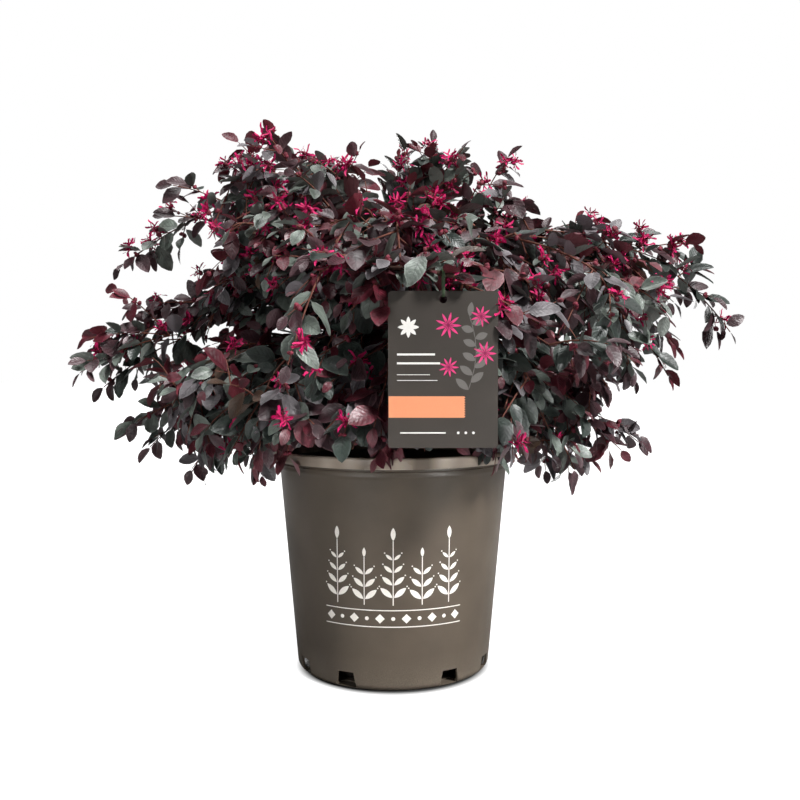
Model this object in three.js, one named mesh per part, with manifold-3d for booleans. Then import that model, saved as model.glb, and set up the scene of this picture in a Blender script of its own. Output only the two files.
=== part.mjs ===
// A Chinese fringe flower in its nursery pot: an arching, weeping shrub on one short trunk, with
// its soil and a hang tag. Millimetres, +Z up. The origin is the centre of the pot's underside,
// and -Y is the front, where the tag hangs.
import * as THREE from "three";
import { mergeVertices } from "three/addons/utils/BufferGeometryUtils.js";
import Module from "manifold-3d";

const wasm = await Module();
wasm.setup();

// Clearances: between touching pieces, from a limb to foliage, and between the spaces of two masses
const GAP = 0.3;
const LIMB_CLEARANCE = 1.8;
const SPACE_CLEARANCE = 1;

// Pot: its wall leans out from the foot to the rim, and drain notches stand in pairs round its foot
const POT_HEIGHT = 225;
const RIM_RADIUS = 126;
const RIM_BAND = 10.5;
const WALL_TOP_RADIUS = 118.5;
const WALL_FOOT_RADIUS = 100;
const WALL = 2.2;
const FLOOR = 3;
const CORNER_RADIUS = 7;
const POT_SEGMENTS = 36;
const NOTCH = { pairs: 4, first: -134, step: 94, halfGap: 17, foot: 18.5, top: 13.5, low: 2.2, high: 16 };

// Soil, and the short trunk that stands on it
const SOIL_TOP = POT_HEIGHT - 22;
const TRUNK_FOOT = SOIL_TOP + GAP;
const TRUNK_TOP = 286;
const TRUNK = { flareRadius: 17, flareHeight: 12, footRadius: 12, topRadius: 10.5, sides: 12 };
const TRUNK_LEAN = { by: 3, azimuth: 20 };

// Limbs: a bough carries on as its mass's stem, and twigs leave the stem
const BOUGH = { tipRadius: 2.3, sides: 4, run: 32 };
const STEM = { tipRadius: 1.4, sides: 4, steps: 4 };
const TWIG = { footRadius: 1.2, tipRadius: 0.8, sides: 3, steps: 1 };
const TWIG_SIZES = [1.15, 0.95, 0.75, 0.55, 0.4];
const TWIG_ROLLS = [0, 0, 55, -50];

// Leaves, each larger than life to stand for a few, and flowers of four strap petals
const LEAF = { length: 62, width: 40, widest: 0.45, thickness: 2, fold: 5, droop: 7, stalk: 0.2 };
const LEAF_SUNK = 1.5;
const LEAF_SIZES = [1.2, 1.1, 1, 0.9, 0.8, 0.7, 0.6];
const END_LEAF_SIZES = [0.95, 0.85, 0.75, 0.65, 0.55];
const FLOWER = { petals: 4, reach: 17, waist: 3, depth: 4.4, cup: 6 };
const CLEAN_JOIN = 20;

// Hang tag on its strap. The strap hangs on a bough and passes through the tag's hole.
const TAG = { width: 87, height: 124, thickness: 0.8, corner: 2.5, x: 39.5, top: 368 };
const TAG_HOLE = { radius: 3.2, drop: 6.5 };
const STRAP = { thick: 1, wide: 2.4, halfWidth: 3.9 };

// Each tier of shoots leaves the trunk in its own whorl, and splits into bough and stem at one
// share of its length. A shoot arches from the trunk over its apex to its tip, with its twigs.
const TIERS = {
  skirt: { attach: 222, split: 0.34, outward: 0.36, over: 0.8, footRadius: 3.1 },
  shoulder: { attach: 246, split: 0.32, outward: 0.3, over: 0.78, footRadius: 3 },
  top: { attach: 270, split: 0.28, outward: 0.2, over: 0.55, footRadius: 2.7 },
};
const TWIGGING = {
  skirt: { firstTwig: 0.06, twigs: 6, reach: 74, droop: 0.7, lean: 48, leafFall: 0.1 },
  shoulder: { firstTwig: 0.08, twigs: 6, reach: 84, droop: 0.8, lean: 48, leafFall: 0.1 },
  top: { firstTwig: 0.14, twigs: 7, reach: 80, droop: 0.7, lean: 48, leafFall: 0.05 },
  leader: { firstTwig: 0.5, twigs: 9, reach: 84, droop: 0.1, lean: 26, leafFall: -0.4 },
};
const WHORL_STAGGER = 6;
const FIRST_SEED = 701;

// The mound that the whole crown stays inside: centre, half width, half depth, rise and fall
const CROWN = { x: 20, y: 10, z: 290, across: 358, deep: 330, rise: 284, fall: 114, power: 2.3 };

// tier, azimuth in degrees from +X, reach, height of the tip, height of the apex
const SHOOTS = [
  ["skirt", 350, 250, 245, 325],
  ["skirt", 30, 262, 245, 335],
  ["skirt", 78, 265, 240, 335],
  ["skirt", 126, 262, 240, 335],
  ["skirt", 168, 240, 232, 345],
  ["skirt", 206, 248, 242, 332],
  ["skirt", 235, 205, 258, 325],
  ["skirt", 268, 200, 292, 350],
  ["skirt", 310, 205, 268, 340],
  ["shoulder", 352, 332, 348, 440],
  ["shoulder", 18, 322, 402, 490],
  ["shoulder", 55, 310, 375, 460],
  ["shoulder", 92, 300, 365, 455],
  ["shoulder", 130, 305, 370, 460],
  ["shoulder", 162, 300, 395, 475],
  ["shoulder", 190, 315, 315, 405],
  ["shoulder", 215, 275, 345, 440],
  ["shoulder", 272, 225, 372, 435],
  ["shoulder", 318, 265, 350, 430],
  ["top", 177, 222, 482, 545],
  ["top", 205, 235, 440, 492],
  ["top", 252, 175, 405, 452],
  ["top", 302, 185, 400, 450],
  ["top", 350, 215, 432, 478],
  ["top", 48, 205, 435, 474],
  ["top", 112, 200, 445, 484],
];

// The leader grows straight on from the trunk's top, with no bough of its own.
const LEADER = { lean: 46, azimuth: 5, tip: 512, rolls: [0, 90, 45, 135] };

// The tag's shoot leaves the trunk at the front left and sweeps across the front, over the tag.
const TAG_SHOOT = { azimuth: 236, attach: 264, split: 0.83, tip: [150, -236, 352] };
const TAG_SHOOT_OVER = [[-60, -90, 384], [-96, -268, 425]];

const UP = new THREE.Vector3(0, 0, 1);
const radians = THREE.MathUtils.degToRad;

// Small tools

function seeded(seed) {
  let state = seed >>> 0;
  return () => {
    state = (state + 0x6d2b79f5) >>> 0;
    let t = Math.imul(state ^ (state >>> 15), state | 1);
    t ^= t + Math.imul(t ^ (t >>> 7), t | 61);
    return ((t ^ (t >>> 14)) >>> 0) / 4294967296;
  };
}

function solid(geometry) {
  const bare = geometry.clone();
  bare.deleteAttribute("normal");
  bare.deleteAttribute("uv");
  const merged = mergeVertices(bare, 1e-3);
  const vertProperties = merged.attributes.position.array;
  const triVerts = new Uint32Array(merged.index.array);
  return new wasm.Manifold(new wasm.Mesh({ numProp: 3, vertProperties, triVerts }));
}

function geometryOf(manifold) {
  const { vertProperties, triVerts } = manifold.getMesh();
  const geometry = new THREE.BufferGeometry();
  geometry.setAttribute("position", new THREE.BufferAttribute(vertProperties, 3));
  geometry.setIndex(new THREE.BufferAttribute(triVerts, 1));
  geometry.computeVertexNormals();
  return geometry;
}

function polar(radius, azimuth, height) {
  const turn = radians(azimuth);
  return new THREE.Vector3(radius * Math.cos(turn), radius * Math.sin(turn), height);
}

// A profile of [radius, height] points turned round +Z, from the axis below to the axis above.
function turned(profile, segments) {
  const points = profile.map(([radius, height]) => new THREE.Vector2(radius, height));
  return new THREE.LatheGeometry(points, segments).rotateX(Math.PI / 2);
}

// A closed tapering tube along a curve: an open cylinder bent to the curve's own frames, and capped.
function limb(curve, footRadius, tipRadius, sides, steps) {
  const frames = curve.computeFrenetFrames(steps, false);
  const geometry = new THREE.CylinderGeometry(tipRadius, footRadius, 1, sides, steps, true);
  const position = geometry.attributes.position;
  for (let i = 0; i < position.count; i += 1) {
    const step = Math.round((position.getY(i) + 0.5) * steps);
    const point = curve.getPointAt(step / steps);
    point.addScaledVector(frames.normals[step], position.getX(i));
    point.addScaledVector(frames.binormals[step], -position.getZ(i));
    position.setXYZ(i, point.x, point.y, point.z);
  }
  const faces = Array.from(geometry.index.array);
  const footRing = steps * (sides + 1);
  for (let k = 1; k < sides - 1; k += 1) faces.push(0, k, k + 1, footRing, footRing + k + 1, footRing + k);
  geometry.setIndex(faces);
  return geometry;
}

// The stretch of a curve between two shares of it, as a curve of its own.
function stretch(curve, from, to) {
  const count = 12;
  const shares = Array.from({ length: count + 1 }, (_, i) => THREE.MathUtils.lerp(from, to, i / count));
  return new THREE.CatmullRomCurve3(shares.map((share) => curve.getPoint(share)));
}

// The straight runs that a limb of some steps is made of, as one curve.
function chords(curve, steps) {
  const path = new THREE.CurvePath();
  const points = curve.getSpacedPoints(steps);
  points.slice(1).forEach((point, i) => path.add(new THREE.LineCurve3(points[i], point)));
  return path;
}

function distanceToPath(point, path) {
  const line = new THREE.Line3();
  const nearest = new THREE.Vector3();
  let least = Infinity;
  for (let i = 1; i < path.length; i += 1) {
    line.set(path[i - 1], path[i]).closestPointToPoint(point, true, nearest);
    least = Math.min(least, nearest.distanceTo(point));
  }
  return least;
}

// Pot and soil

function wallRadius(height) {
  const share = (height - CORNER_RADIUS) / (POT_HEIGHT - RIM_BAND - CORNER_RADIUS);
  return THREE.MathUtils.lerp(WALL_FOOT_RADIUS, WALL_TOP_RADIUS, share);
}

function cornerArc(radius, floor, corner, steps) {
  return Array.from({ length: steps + 1 }, (_, i) => {
    const turn = (i / steps) * (Math.PI / 2);
    return [radius - corner + corner * Math.sin(turn), floor + corner - corner * Math.cos(turn)];
  });
}

function potSolid() {
  const underRim = POT_HEIGHT - RIM_BAND;
  const lip = 1.5;
  const inner = [[0, FLOOR], ...cornerArc(WALL_FOOT_RADIUS - WALL, FLOOR, CORNER_RADIUS - WALL, 1)];
  inner.push([WALL_TOP_RADIUS - WALL, underRim], [RIM_RADIUS - 4 * lip, POT_HEIGHT]);
  const outer = [[0, 0], ...cornerArc(WALL_FOOT_RADIUS, 0, CORNER_RADIUS, 2), [WALL_TOP_RADIUS, underRim]];
  outer.push([RIM_RADIUS - 1, underRim], [RIM_RADIUS, POT_HEIGHT - lip], [RIM_RADIUS - lip, POT_HEIGHT]);
  let pot = solid(turned([...outer, ...inner.reverse()], POT_SEGMENTS));
  for (let pair = 0; pair < NOTCH.pairs; pair += 1) {
    for (const side of [-1, 1]) {
      pot = pot.subtract(notchCutter(NOTCH.first + pair * NOTCH.step + side * NOTCH.halfGap));
    }
  }
  return pot;
}

function notchCutter(azimuth) {
  const outline = new THREE.Shape([
    new THREE.Vector2(-NOTCH.foot / 2, NOTCH.low),
    new THREE.Vector2(NOTCH.foot / 2, NOTCH.low),
    new THREE.Vector2(NOTCH.top / 2, NOTCH.high),
    new THREE.Vector2(-NOTCH.top / 2, NOTCH.high),
  ]);
  const depth = 2 * CORNER_RADIUS + WALL;
  const cutter = new THREE.ExtrudeGeometry(outline, { depth, bevelEnabled: false });
  cutter.rotateX(Math.PI / 2).rotateZ(Math.PI / 2);
  cutter.translate(WALL_FOOT_RADIUS - CORNER_RADIUS - WALL, 0, 0);
  return solid(cutter.rotateZ(radians(azimuth)));
}

// The soil fills the pot to a little mound, with the pot's own number of sides.
function soilSolid() {
  const inside = (height) => wallRadius(height) - WALL - 2 * GAP;
  const foot = FLOOR + GAP;
  const side = foot + CORNER_RADIUS;
  const edge = SOIL_TOP - 4;
  const profile = [[0, foot], [inside(side) - CORNER_RADIUS, foot], [inside(side), side]];
  profile.push([inside(edge), edge], [inside(edge) - 25, SOIL_TOP], [0, SOIL_TOP]);
  return solid(turned(profile, POT_SEGMENTS));
}

// Trunk

const trunkCurve = new THREE.LineCurve3(
  new THREE.Vector3(0, 0, TRUNK_FOOT),
  polar(TRUNK_LEAN.by, TRUNK_LEAN.azimuth, TRUNK_TOP),
);

function trunkRadius(height) {
  const above = height - TRUNK_FOOT;
  const taper = THREE.MathUtils.lerp(TRUNK.footRadius, TRUNK.topRadius, above / (TRUNK_TOP - TRUNK_FOOT));
  return taper + (TRUNK.flareRadius - TRUNK.footRadius) * Math.exp((-2.2 * above) / TRUNK.flareHeight);
}

function trunkCentre(height) {
  const share = (height - TRUNK_FOOT) / (TRUNK_TOP - TRUNK_FOOT);
  return trunkCurve.getPoint(THREE.MathUtils.clamp(share, 0, 1));
}

// The trunk, swollen by a margin where boughs are cut clear of it. Its rings crowd into the flare.
function trunkSolid(margin) {
  const rings = 6;
  const profile = [[0, TRUNK_FOOT - margin]];
  for (let i = 0; i <= rings; i += 1) {
    const height = TRUNK_FOOT + (TRUNK_TOP - TRUNK_FOOT) * (i / rings) ** 1.8;
    const overhang = i === 0 ? -margin : i === rings ? margin : 0;
    profile.push([trunkRadius(height) + margin, height + overhang]);
  }
  profile.push([0, TRUNK_TOP + margin]);
  const geometry = turned(profile, TRUNK.sides);
  const position = geometry.attributes.position;
  for (let i = 0; i < position.count; i += 1) {
    const centre = trunkCentre(position.getZ(i));
    position.setXYZ(i, position.getX(i) + centre.x, position.getY(i) + centre.y, position.getZ(i));
  }
  return solid(geometry);
}

// Shoots: the curves that boughs and stems follow

// A point just inside the trunk's bark, where a bough leaves it.
function onTrunk(azimuth, height) {
  const inside = 1.5;
  return polar(trunkRadius(height) - inside, azimuth, 0).add(trunkCentre(height)).setZ(height);
}

function archedCurve(tier, azimuth, reach, tipHeight, apex, order) {
  const { attach, outward, over } = TIERS[tier];
  const height = attach + (order % 3) * WHORL_STAGGER;
  const control = (apex - (height + tipHeight) / 8) / 0.75;
  const sway = 7 * Math.sin(2.4 * order);
  return new THREE.CubicBezierCurve3(
    onTrunk(azimuth, height),
    polar(reach * outward, azimuth + sway, control),
    polar(reach * over, azimuth - sway, control),
    polar(reach, azimuth, tipHeight),
  );
}

function leaderCurve() {
  const foot = trunkCentre(TRUNK_TOP).setZ(TRUNK_TOP + GAP);
  const tip = polar(LEADER.lean, LEADER.azimuth, LEADER.tip);
  const bend = foot.clone().lerp(tip, 0.5).setX(foot.x);
  return new THREE.QuadraticBezierCurve3(foot, bend, tip);
}

function tagCurve() {
  const [first, second] = TAG_SHOOT_OVER.map((place) => new THREE.Vector3(...place));
  const foot = onTrunk(TAG_SHOOT.azimuth, TAG_SHOOT.attach);
  return new THREE.CubicBezierCurve3(foot, first, second, new THREE.Vector3(...TAG_SHOOT.tip));
}

function layOutShoots() {
  const counts = { skirt: 0, shoulder: 0, top: 0 };
  const shoots = SHOOTS.map(([tier, azimuth, reach, tip, apex]) => {
    const order = counts[tier];
    counts[tier] += 1;
    const curve = archedCurve(tier, azimuth, reach, tip, apex, order);
    return { name: `${tier}_${order + 1}`, ...TIERS[tier], ...TWIGGING[tier], rolls: TWIG_ROLLS, curve };
  });
  const { footRadius } = TIERS.shoulder;
  const { split } = TAG_SHOOT;
  const tagShoot = { name: "tag_side", split, footRadius, rolls: TWIG_ROLLS, curve: tagCurve() };
  shoots.push({ ...TWIGGING.shoulder, ...tagShoot });
  shoots.push({ name: "leader", split: 0, ...TWIGGING.leader, rolls: LEADER.rolls, curve: leaderCurve() });
  shoots.forEach((shoot, i) => {
    const stemFrom = shoot.split > 0 ? shoot.split + (2 * GAP) / shoot.curve.getLength() : 0;
    shoot.seed = FIRST_SEED + 37 * i;
    shoot.boughCurve = shoot.split > 0 ? stretch(shoot.curve, 0, shoot.split) : null;
    shoot.stemCurve = stretch(shoot.curve, stemFrom, 1);
    shoot.boughSteps = shoot.boughCurve ? Math.ceil(shoot.boughCurve.getLength() / BOUGH.run) : 0;
    shoot.boughPath = shoot.boughCurve ? shoot.boughCurve.getSpacedPoints(shoot.boughSteps) : [];
    shoot.stemPath = shoot.stemCurve.getSpacedPoints(10);
  });
  return shoots;
}

const shoots = layOutShoots();

// The bough that carries the tag, where it passes over the tag's hole.
function boughOverTag() {
  const path = shoots.find((shoot) => shoot.name === "tag_side").boughPath;
  const after = path.findIndex((point) => point.x > TAG.x);
  const [from, to] = [path[after - 1], path[after]];
  return from.clone().lerp(to, (TAG.x - from.x) / (to.x - from.x));
}

const tagSeat = boughOverTag();
const tagFront = tagSeat.y - TAG.thickness / 2;

const runsOf = (path) => path.slice(1).map((point, i) => [path[i], point]);
const boughLines = shoots.flatMap(({ boughPath }) => runsOf(boughPath));

// The space that a mass keeps to: inside the mound, nearer its own stem than any other, and clear
// of limbs, pot and tag

function inCrown(point) {
  const tall = point.z > CROWN.z ? CROWN.rise : CROWN.fall;
  const flat = Math.hypot((point.x - CROWN.x) / CROWN.across, (point.y - CROWN.y) / CROWN.deep);
  return flat ** CROWN.power + Math.abs((point.z - CROWN.z) / tall) ** CROWN.power < 1;
}

function inPot(point) {
  const margin = 4;
  return point.z < POT_HEIGHT + margin && Math.hypot(point.x, point.y) < RIM_RADIUS + margin;
}

function inTagSpace(point) {
  const margin = 8;
  const beside = Math.abs(point.x - TAG.x) < TAG.width / 2 + margin && point.y < tagFront + margin;
  return beside && point.z > TAG.top - TAG.height - margin && point.z < tagSeat.z + margin;
}

const trunkPath = [trunkCurve.v1, trunkCurve.v2];

function fits(points, owner) {
  return points.every((point) => {
    if (!inCrown(point) || inPot(point) || inTagSpace(point)) return false;
    if (distanceToPath(point, trunkPath) < TRUNK.footRadius + LIMB_CLEARANCE) return false;
    const own = distanceToPath(point, owner.stemPath);
    return shoots.every((other) => {
      if (distanceToPath(point, other.boughPath) < other.footRadius + LIMB_CLEARANCE) return false;
      return other === owner || distanceToPath(point, other.stemPath) > own + SPACE_CLEARANCE;
    });
  });
}

// A flat four-cornered blade as its two halves, and the lines that bound and fold it.
function bladeOf([foot, left, tip, right]) {
  const lines = [[foot, left], [left, tip], [tip, right], [right, foot], [foot, tip]];
  return { halves: [[foot, left, tip], [foot, right, tip]], lines };
}

function crosses(lines, blade) {
  const hit = new THREE.Vector3();
  return lines.some(([from, to]) => {
    const ray = new THREE.Ray(from, to.clone().sub(from).normalize());
    const length = from.distanceTo(to);
    const meets = (half) => ray.intersectTriangle(...half, false, hit) && hit.distanceTo(from) < length;
    return blade.halves.some(meets);
  });
}

// Leaves and flowers

// A kite-shaped leaf along +X from its foot at the origin, folded up at its midrib and tip down.
function leafSolid() {
  const geometry = new THREE.OctahedronGeometry(1);
  const position = geometry.attributes.position;
  for (let i = 0; i < position.count; i += 1) {
    const [x, y, z] = [position.getX(i), position.getY(i), position.getZ(i)];
    const along = x > 0.5 ? LEAF.length : x < -0.5 ? 0 : LEAF.length * LEAF.widest;
    const height = x > 0.5 ? -LEAF.droop : Math.abs(y) > 0.5 ? LEAF.fold : (z * LEAF.thickness) / 2;
    position.setXYZ(i, along, (y * LEAF.width) / 2, x < -0.5 ? 0 : height);
  }
  return solid(geometry);
}

// Points of a placed leaf: the four corners of its blade past the stalk, then some between them.
function leafPoints(matrix) {
  const { length, width, widest, fold, droop, stalk } = LEAF;
  const corners = [[stalk, 0, 0], [widest, 0.5, 1], [1, 0, -droop / fold], [widest, -0.5, 1]];
  const between = [[0.3, 0.22, 0.5], [0.3, -0.22, 0.5], [widest, 0, 0], [0.72, 0.25, 0], [0.72, -0.25, 0]];
  const place = ([x, y, z]) => new THREE.Vector3(x * length, y * width, z * fold).applyMatrix4(matrix);
  return [...corners, ...between].map(place);
}

// A star of strap petals that open like a shallow cup, foot at the origin, facing +Z.
function flowerSolid() {
  const geometry = new THREE.SphereGeometry(1, FLOWER.petals * 2, 2).rotateX(Math.PI / 2);
  const position = geometry.attributes.position;
  for (let i = 0; i < position.count; i += 1) {
    const [x, y, z] = [position.getX(i), position.getY(i), position.getZ(i)];
    const turn = Math.round((Math.atan2(y, x) / Math.PI) * FLOWER.petals);
    const onPetal = Math.abs(z) < 0.5 && Math.abs(turn) % 2 === 0;
    const radius = onPetal ? FLOWER.reach : FLOWER.waist;
    position.setXYZ(i, x * radius, y * radius, onPetal ? FLOWER.cup : (z * FLOWER.depth) / 2);
  }
  return solid(geometry);
}

function petalTips(matrix) {
  const turns = Array.from({ length: FLOWER.petals }, (_, i) => (360 * i) / FLOWER.petals);
  return turns.map((turn) => polar(FLOWER.reach, turn, FLOWER.cup).applyMatrix4(matrix));
}

const leafShape = leafSolid();
const flowerShape = flowerSolid();

// Foliage masses

// The frame at a foot that points along a heading, with its upper face towards a facing.
function placing(foot, heading, facing, size) {
  const along = heading.clone().normalize();
  const upper = facing.clone().addScaledVector(along, -facing.dot(along)).normalize();
  const across = new THREE.Vector3().crossVectors(upper, along);
  const matrix = new THREE.Matrix4().makeBasis(along, across, upper);
  return matrix.scale(new THREE.Vector3(size, size, size)).setPosition(foot);
}

// Sideways from a branch, level with the ground, rolled about the branch by some degrees.
function sideways(heading, side, roll) {
  const level = new THREE.Vector3().crossVectors(heading, UP);
  if (level.lengthSq() < 1e-4) level.set(1, 0, 0);
  return level.normalize().multiplyScalar(side).applyAxisAngle(heading.clone().normalize(), radians(roll));
}

// One leaf on a branch: it leans out to its side, droops a little and faces up and out.
function leafPlace(axis, share, side, size, random, outward, fall) {
  const heading = axis.getTangentAt(share);
  const lean = side === 0 ? 0 : radians(40 + 35 * random());
  const out = sideways(heading, side || 1, 110 * (random() - 0.5));
  const along = heading.clone().multiplyScalar(Math.cos(lean)).addScaledVector(out, Math.sin(lean));
  along.z -= fall + 0.45 * random();
  const facing = UP.clone().addScaledVector(outward, 0.5 + 0.5 * random());
  facing.addScaledVector(out, 0.5 * (random() - 0.5));
  return placing(axis.getPointAt(share), along, facing, size);
}

// A twig bends down as it leaves its stem.
function twigCurve(foot, heading, length, droop) {
  const middle = foot.clone().addScaledVector(heading, length * 0.5);
  const end = foot.clone().addScaledVector(heading, length);
  middle.z -= droop * length * 0.12;
  end.z -= droop * length * 0.5;
  return new THREE.QuadraticBezierCurve3(foot, middle, end);
}

// Twigs leave to each side of the stem in turn, then above and below it: the longest that fits.
function findTwig(shoot, stemAxis, share, order, random) {
  const heading = stemAxis.getTangentAt(share);
  const foot = stemAxis.getPointAt(share);
  for (const size of TWIG_SIZES) {
    const roll = shoot.rolls[order % shoot.rolls.length] + 50 * (random() - 0.5);
    const out = sideways(heading, order % 2 ? -1 : 1, roll);
    const lean = radians(shoot.lean + 24 * random());
    const along = heading.clone().multiplyScalar(Math.cos(lean)).addScaledVector(out, Math.sin(lean));
    const length = shoot.reach * size * (1 - 0.25 * share);
    const curve = twigCurve(foot, along.normalize(), length, shoot.droop * (0.6 + 0.4 * random()));
    if (fits(curve.getPoints(4).slice(1), shoot)) return curve;
  }
  return null;
}

// Stem, twigs, then the leaves and flowers on each of them, fused one by one. A piece that joins
// with many new faces lies across its neighbours, so it is skipped.
function growMass(shoot) {
  const random = seeded(shoot.seed);
  const { stemCurve } = shoot;
  const tip = stemCurve.getPointAt(1);
  const outward = new THREE.Vector3(tip.x, tip.y, 0).normalize();
  let mass = solid(limb(stemCurve, BOUGH.tipRadius, STEM.tipRadius, STEM.sides, STEM.steps));
  const join = (piece) => {
    const joined = mass.add(piece);
    if (joined.numTri() > mass.numTri() + piece.numTri() + CLEAN_JOIN) return false;
    mass = joined;
    return true;
  };
  const axes = [chords(stemCurve, STEM.steps)];
  for (let i = 0; i < shoot.twigs; i += 1) {
    const share = THREE.MathUtils.lerp(shoot.firstTwig, 0.92, i / shoot.twigs);
    const twig = findTwig(shoot, axes[0], share, i, random);
    const piece = twig && solid(limb(twig, TWIG.footRadius, TWIG.tipRadius, TWIG.sides, TWIG.steps));
    if (piece && join(piece)) axes.push(chords(twig, TWIG.steps));
  }
  const ownLines = axes.flatMap((axis) => axis.curves.map((run) => [run.v1, run.v2]));
  const limbLines = [...ownLines, ...boughLines];
  const blades = [];
  const addBlade = (points, shape, matrix) => {
    const blade = bladeOf(points.slice(0, 4));
    const met = blades.some((other) => crosses(blade.lines, other) || crosses(other.lines, blade));
    if (met || crosses(limbLines, blade) || !fits(points, shoot)) return false;
    if (!join(shape.transform(matrix.elements))) return false;
    blades.push(blade);
    return true;
  };
  axes.forEach((axis, i) => {
    if (i % 2 === 1) {
      const facing = UP.clone().addScaledVector(outward, 0.9).normalize();
      const matrix = placing(axis.getPointAt(1), sideways(facing, 1, 360 * random()), facing, 1);
      addBlade(petalTips(matrix), flowerShape, matrix);
    }
    const end = 1 - LEAF_SUNK / axis.getLength();
    const shares = i > 0 ? [end, 0.36, 0.6, 0.8] : [end, 0.2, 0.38, 0.55, 0.7, 0.84];
    shares.forEach((share, k) => {
      const side = k === 0 ? 0 : k % 2 ? 1 : -1;
      for (const size of k === 0 ? END_LEAF_SIZES : LEAF_SIZES) {
        const matrix = leafPlace(axis, share, side, size, random, outward, shoot.leafFall);
        if (addBlade(leafPoints(matrix), leafShape, matrix)) break;
      }
    });
  });
  return mass;
}

// Tag and strap

function tagGeometry() {
  const { width, height, corner, thickness: depth } = TAG;
  const half = width / 2 - corner;
  const card = new THREE.Shape();
  card.absarc(-half, corner - height, corner, Math.PI, 1.5 * Math.PI);
  card.absarc(half, corner - height, corner, 1.5 * Math.PI, 2 * Math.PI);
  card.absarc(half, -corner, corner, 0, 0.5 * Math.PI);
  card.absarc(-half, -corner, corner, 0.5 * Math.PI, Math.PI);
  card.holes.push(new THREE.Path().absarc(0, -TAG_HOLE.drop, TAG_HOLE.radius, 0, 2 * Math.PI, true));
  const geometry = new THREE.ExtrudeGeometry(card, { depth, bevelEnabled: false, curveSegments: 4 });
  return geometry.rotateX(Math.PI / 2).translate(TAG.x, tagFront + depth, TAG.top);
}

// The strap is a closed band: an upright loop with round ends, over the bough and through the tag.
function loopOutline(shape, halfWidth, high, low) {
  shape.absarc(0, high - halfWidth, halfWidth, 0, Math.PI);
  shape.absarc(0, low + halfWidth, halfWidth, Math.PI, 2 * Math.PI);
  return shape;
}

function strapGeometry() {
  const { thick, wide, halfWidth } = STRAP;
  const boughTop = tagSeat.z + BOUGH.tipRadius + 1.2;
  const holeTop = TAG.top - TAG_HOLE.drop + TAG_HOLE.radius - 2 * GAP;
  const band = loopOutline(new THREE.Shape(), halfWidth + thick, boughTop + thick, holeTop - thick);
  band.holes.push(loopOutline(new THREE.Path(), halfWidth, boughTop, holeTop));
  const geometry = new THREE.ExtrudeGeometry(band, { depth: wide, bevelEnabled: false, curveSegments: 5 });
  return geometry.rotateX(Math.PI / 2).rotateZ(Math.PI / 2).translate(TAG.x - wide / 2, tagSeat.y, 0);
}

// The plant as a scene graph

const root = new THREE.Group();

function addNode(name, geometry, color, roughness) {
  const mesh = new THREE.Mesh(geometry, new THREE.MeshStandardMaterial({ color, roughness, metalness: 0 }));
  mesh.name = name;
  root.add(mesh);
}

const swollenTrunk = trunkSolid(GAP);
addNode("pot", geometryOf(potSolid()), 0x6a6058, 0.45);
addNode("soil", geometryOf(soilSolid()), 0x1f1a17, 0.95);
addNode("trunk", geometryOf(trunkSolid(0)), 0x6b4a3a, 0.85);
for (const shoot of shoots) {
  if (shoot.boughCurve) {
    const { boughCurve, footRadius, boughSteps } = shoot;
    const bough = solid(limb(boughCurve, footRadius, BOUGH.tipRadius, BOUGH.sides, boughSteps));
    addNode(`bough_${shoot.name}`, geometryOf(bough.subtract(swollenTrunk)), 0x7a4a3c, 0.8);
  }
  addNode(`mass_${shoot.name}`, geometryOf(growMass(shoot)), 0x4b4046, 0.6);
}
addNode("tag", tagGeometry(), 0x4a443f, 0.5);
addNode("tag_strap", strapGeometry(), 0x3d4a3a, 0.45);

export default root;
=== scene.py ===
"""The looks of a potted Chinese fringe flower: leaves, flowers, bark, pot, soil and hang tag.

Metres, +Z up. The origin is the centre of the pot's underside, and -Y is the front.
"""

import math
import random
from collections import namedtuple
from functools import partial

import bmesh
import bpy
import numpy as np
from mathutils import Matrix, Vector, noise


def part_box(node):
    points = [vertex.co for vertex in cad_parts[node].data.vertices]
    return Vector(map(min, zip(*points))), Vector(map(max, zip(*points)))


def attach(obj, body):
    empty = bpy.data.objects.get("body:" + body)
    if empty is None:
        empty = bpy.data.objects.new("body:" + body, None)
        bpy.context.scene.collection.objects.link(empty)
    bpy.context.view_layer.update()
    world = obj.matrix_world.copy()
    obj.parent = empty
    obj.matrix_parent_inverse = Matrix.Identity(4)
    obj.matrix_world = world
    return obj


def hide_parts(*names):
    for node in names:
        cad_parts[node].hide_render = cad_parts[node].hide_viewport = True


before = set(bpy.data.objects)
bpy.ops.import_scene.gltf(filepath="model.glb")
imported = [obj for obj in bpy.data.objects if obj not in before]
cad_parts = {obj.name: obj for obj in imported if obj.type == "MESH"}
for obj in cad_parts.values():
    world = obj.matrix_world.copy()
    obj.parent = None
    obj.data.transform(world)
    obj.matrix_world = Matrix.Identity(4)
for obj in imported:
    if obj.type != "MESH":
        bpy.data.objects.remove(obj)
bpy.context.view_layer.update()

MM = 0.001
UP = Vector((0, 0, 1))

# Pot
POT_HEIGHT = 0.225
RIM_RADIUS = 0.126
RIM_BAND = 0.0105
WALL_TOP_RADIUS = 0.1185
WALL_FOOT_RADIUS = 0.1
WALL = 0.0022
FLOOR = 0.003
CORNER_RADIUS = 0.007
NOTCH = {"pairs": 4, "first": -134, "step": 94, "half_gap": 17}
NOTCH_OUTLINE = ((-0.0108, 0.0022), (0.0108, 0.0022), (0.0084, 0.0168), (-0.0084, 0.0168))
GROOVE = {"deep": 0.0014, "tall": 0.0034}

# Soil and trunk
SOIL_TOP = POT_HEIGHT - 0.022
TRUNK_FOOT = SOIL_TOP
TRUNK_TOP = 0.286
TRUNK = {"flare_radius": 0.017, "flare_height": 0.012, "foot_radius": 0.012, "top_radius": 0.0105}
TRUNK_LEAN = {"by": 0.003, "azimuth": 20}

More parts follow.
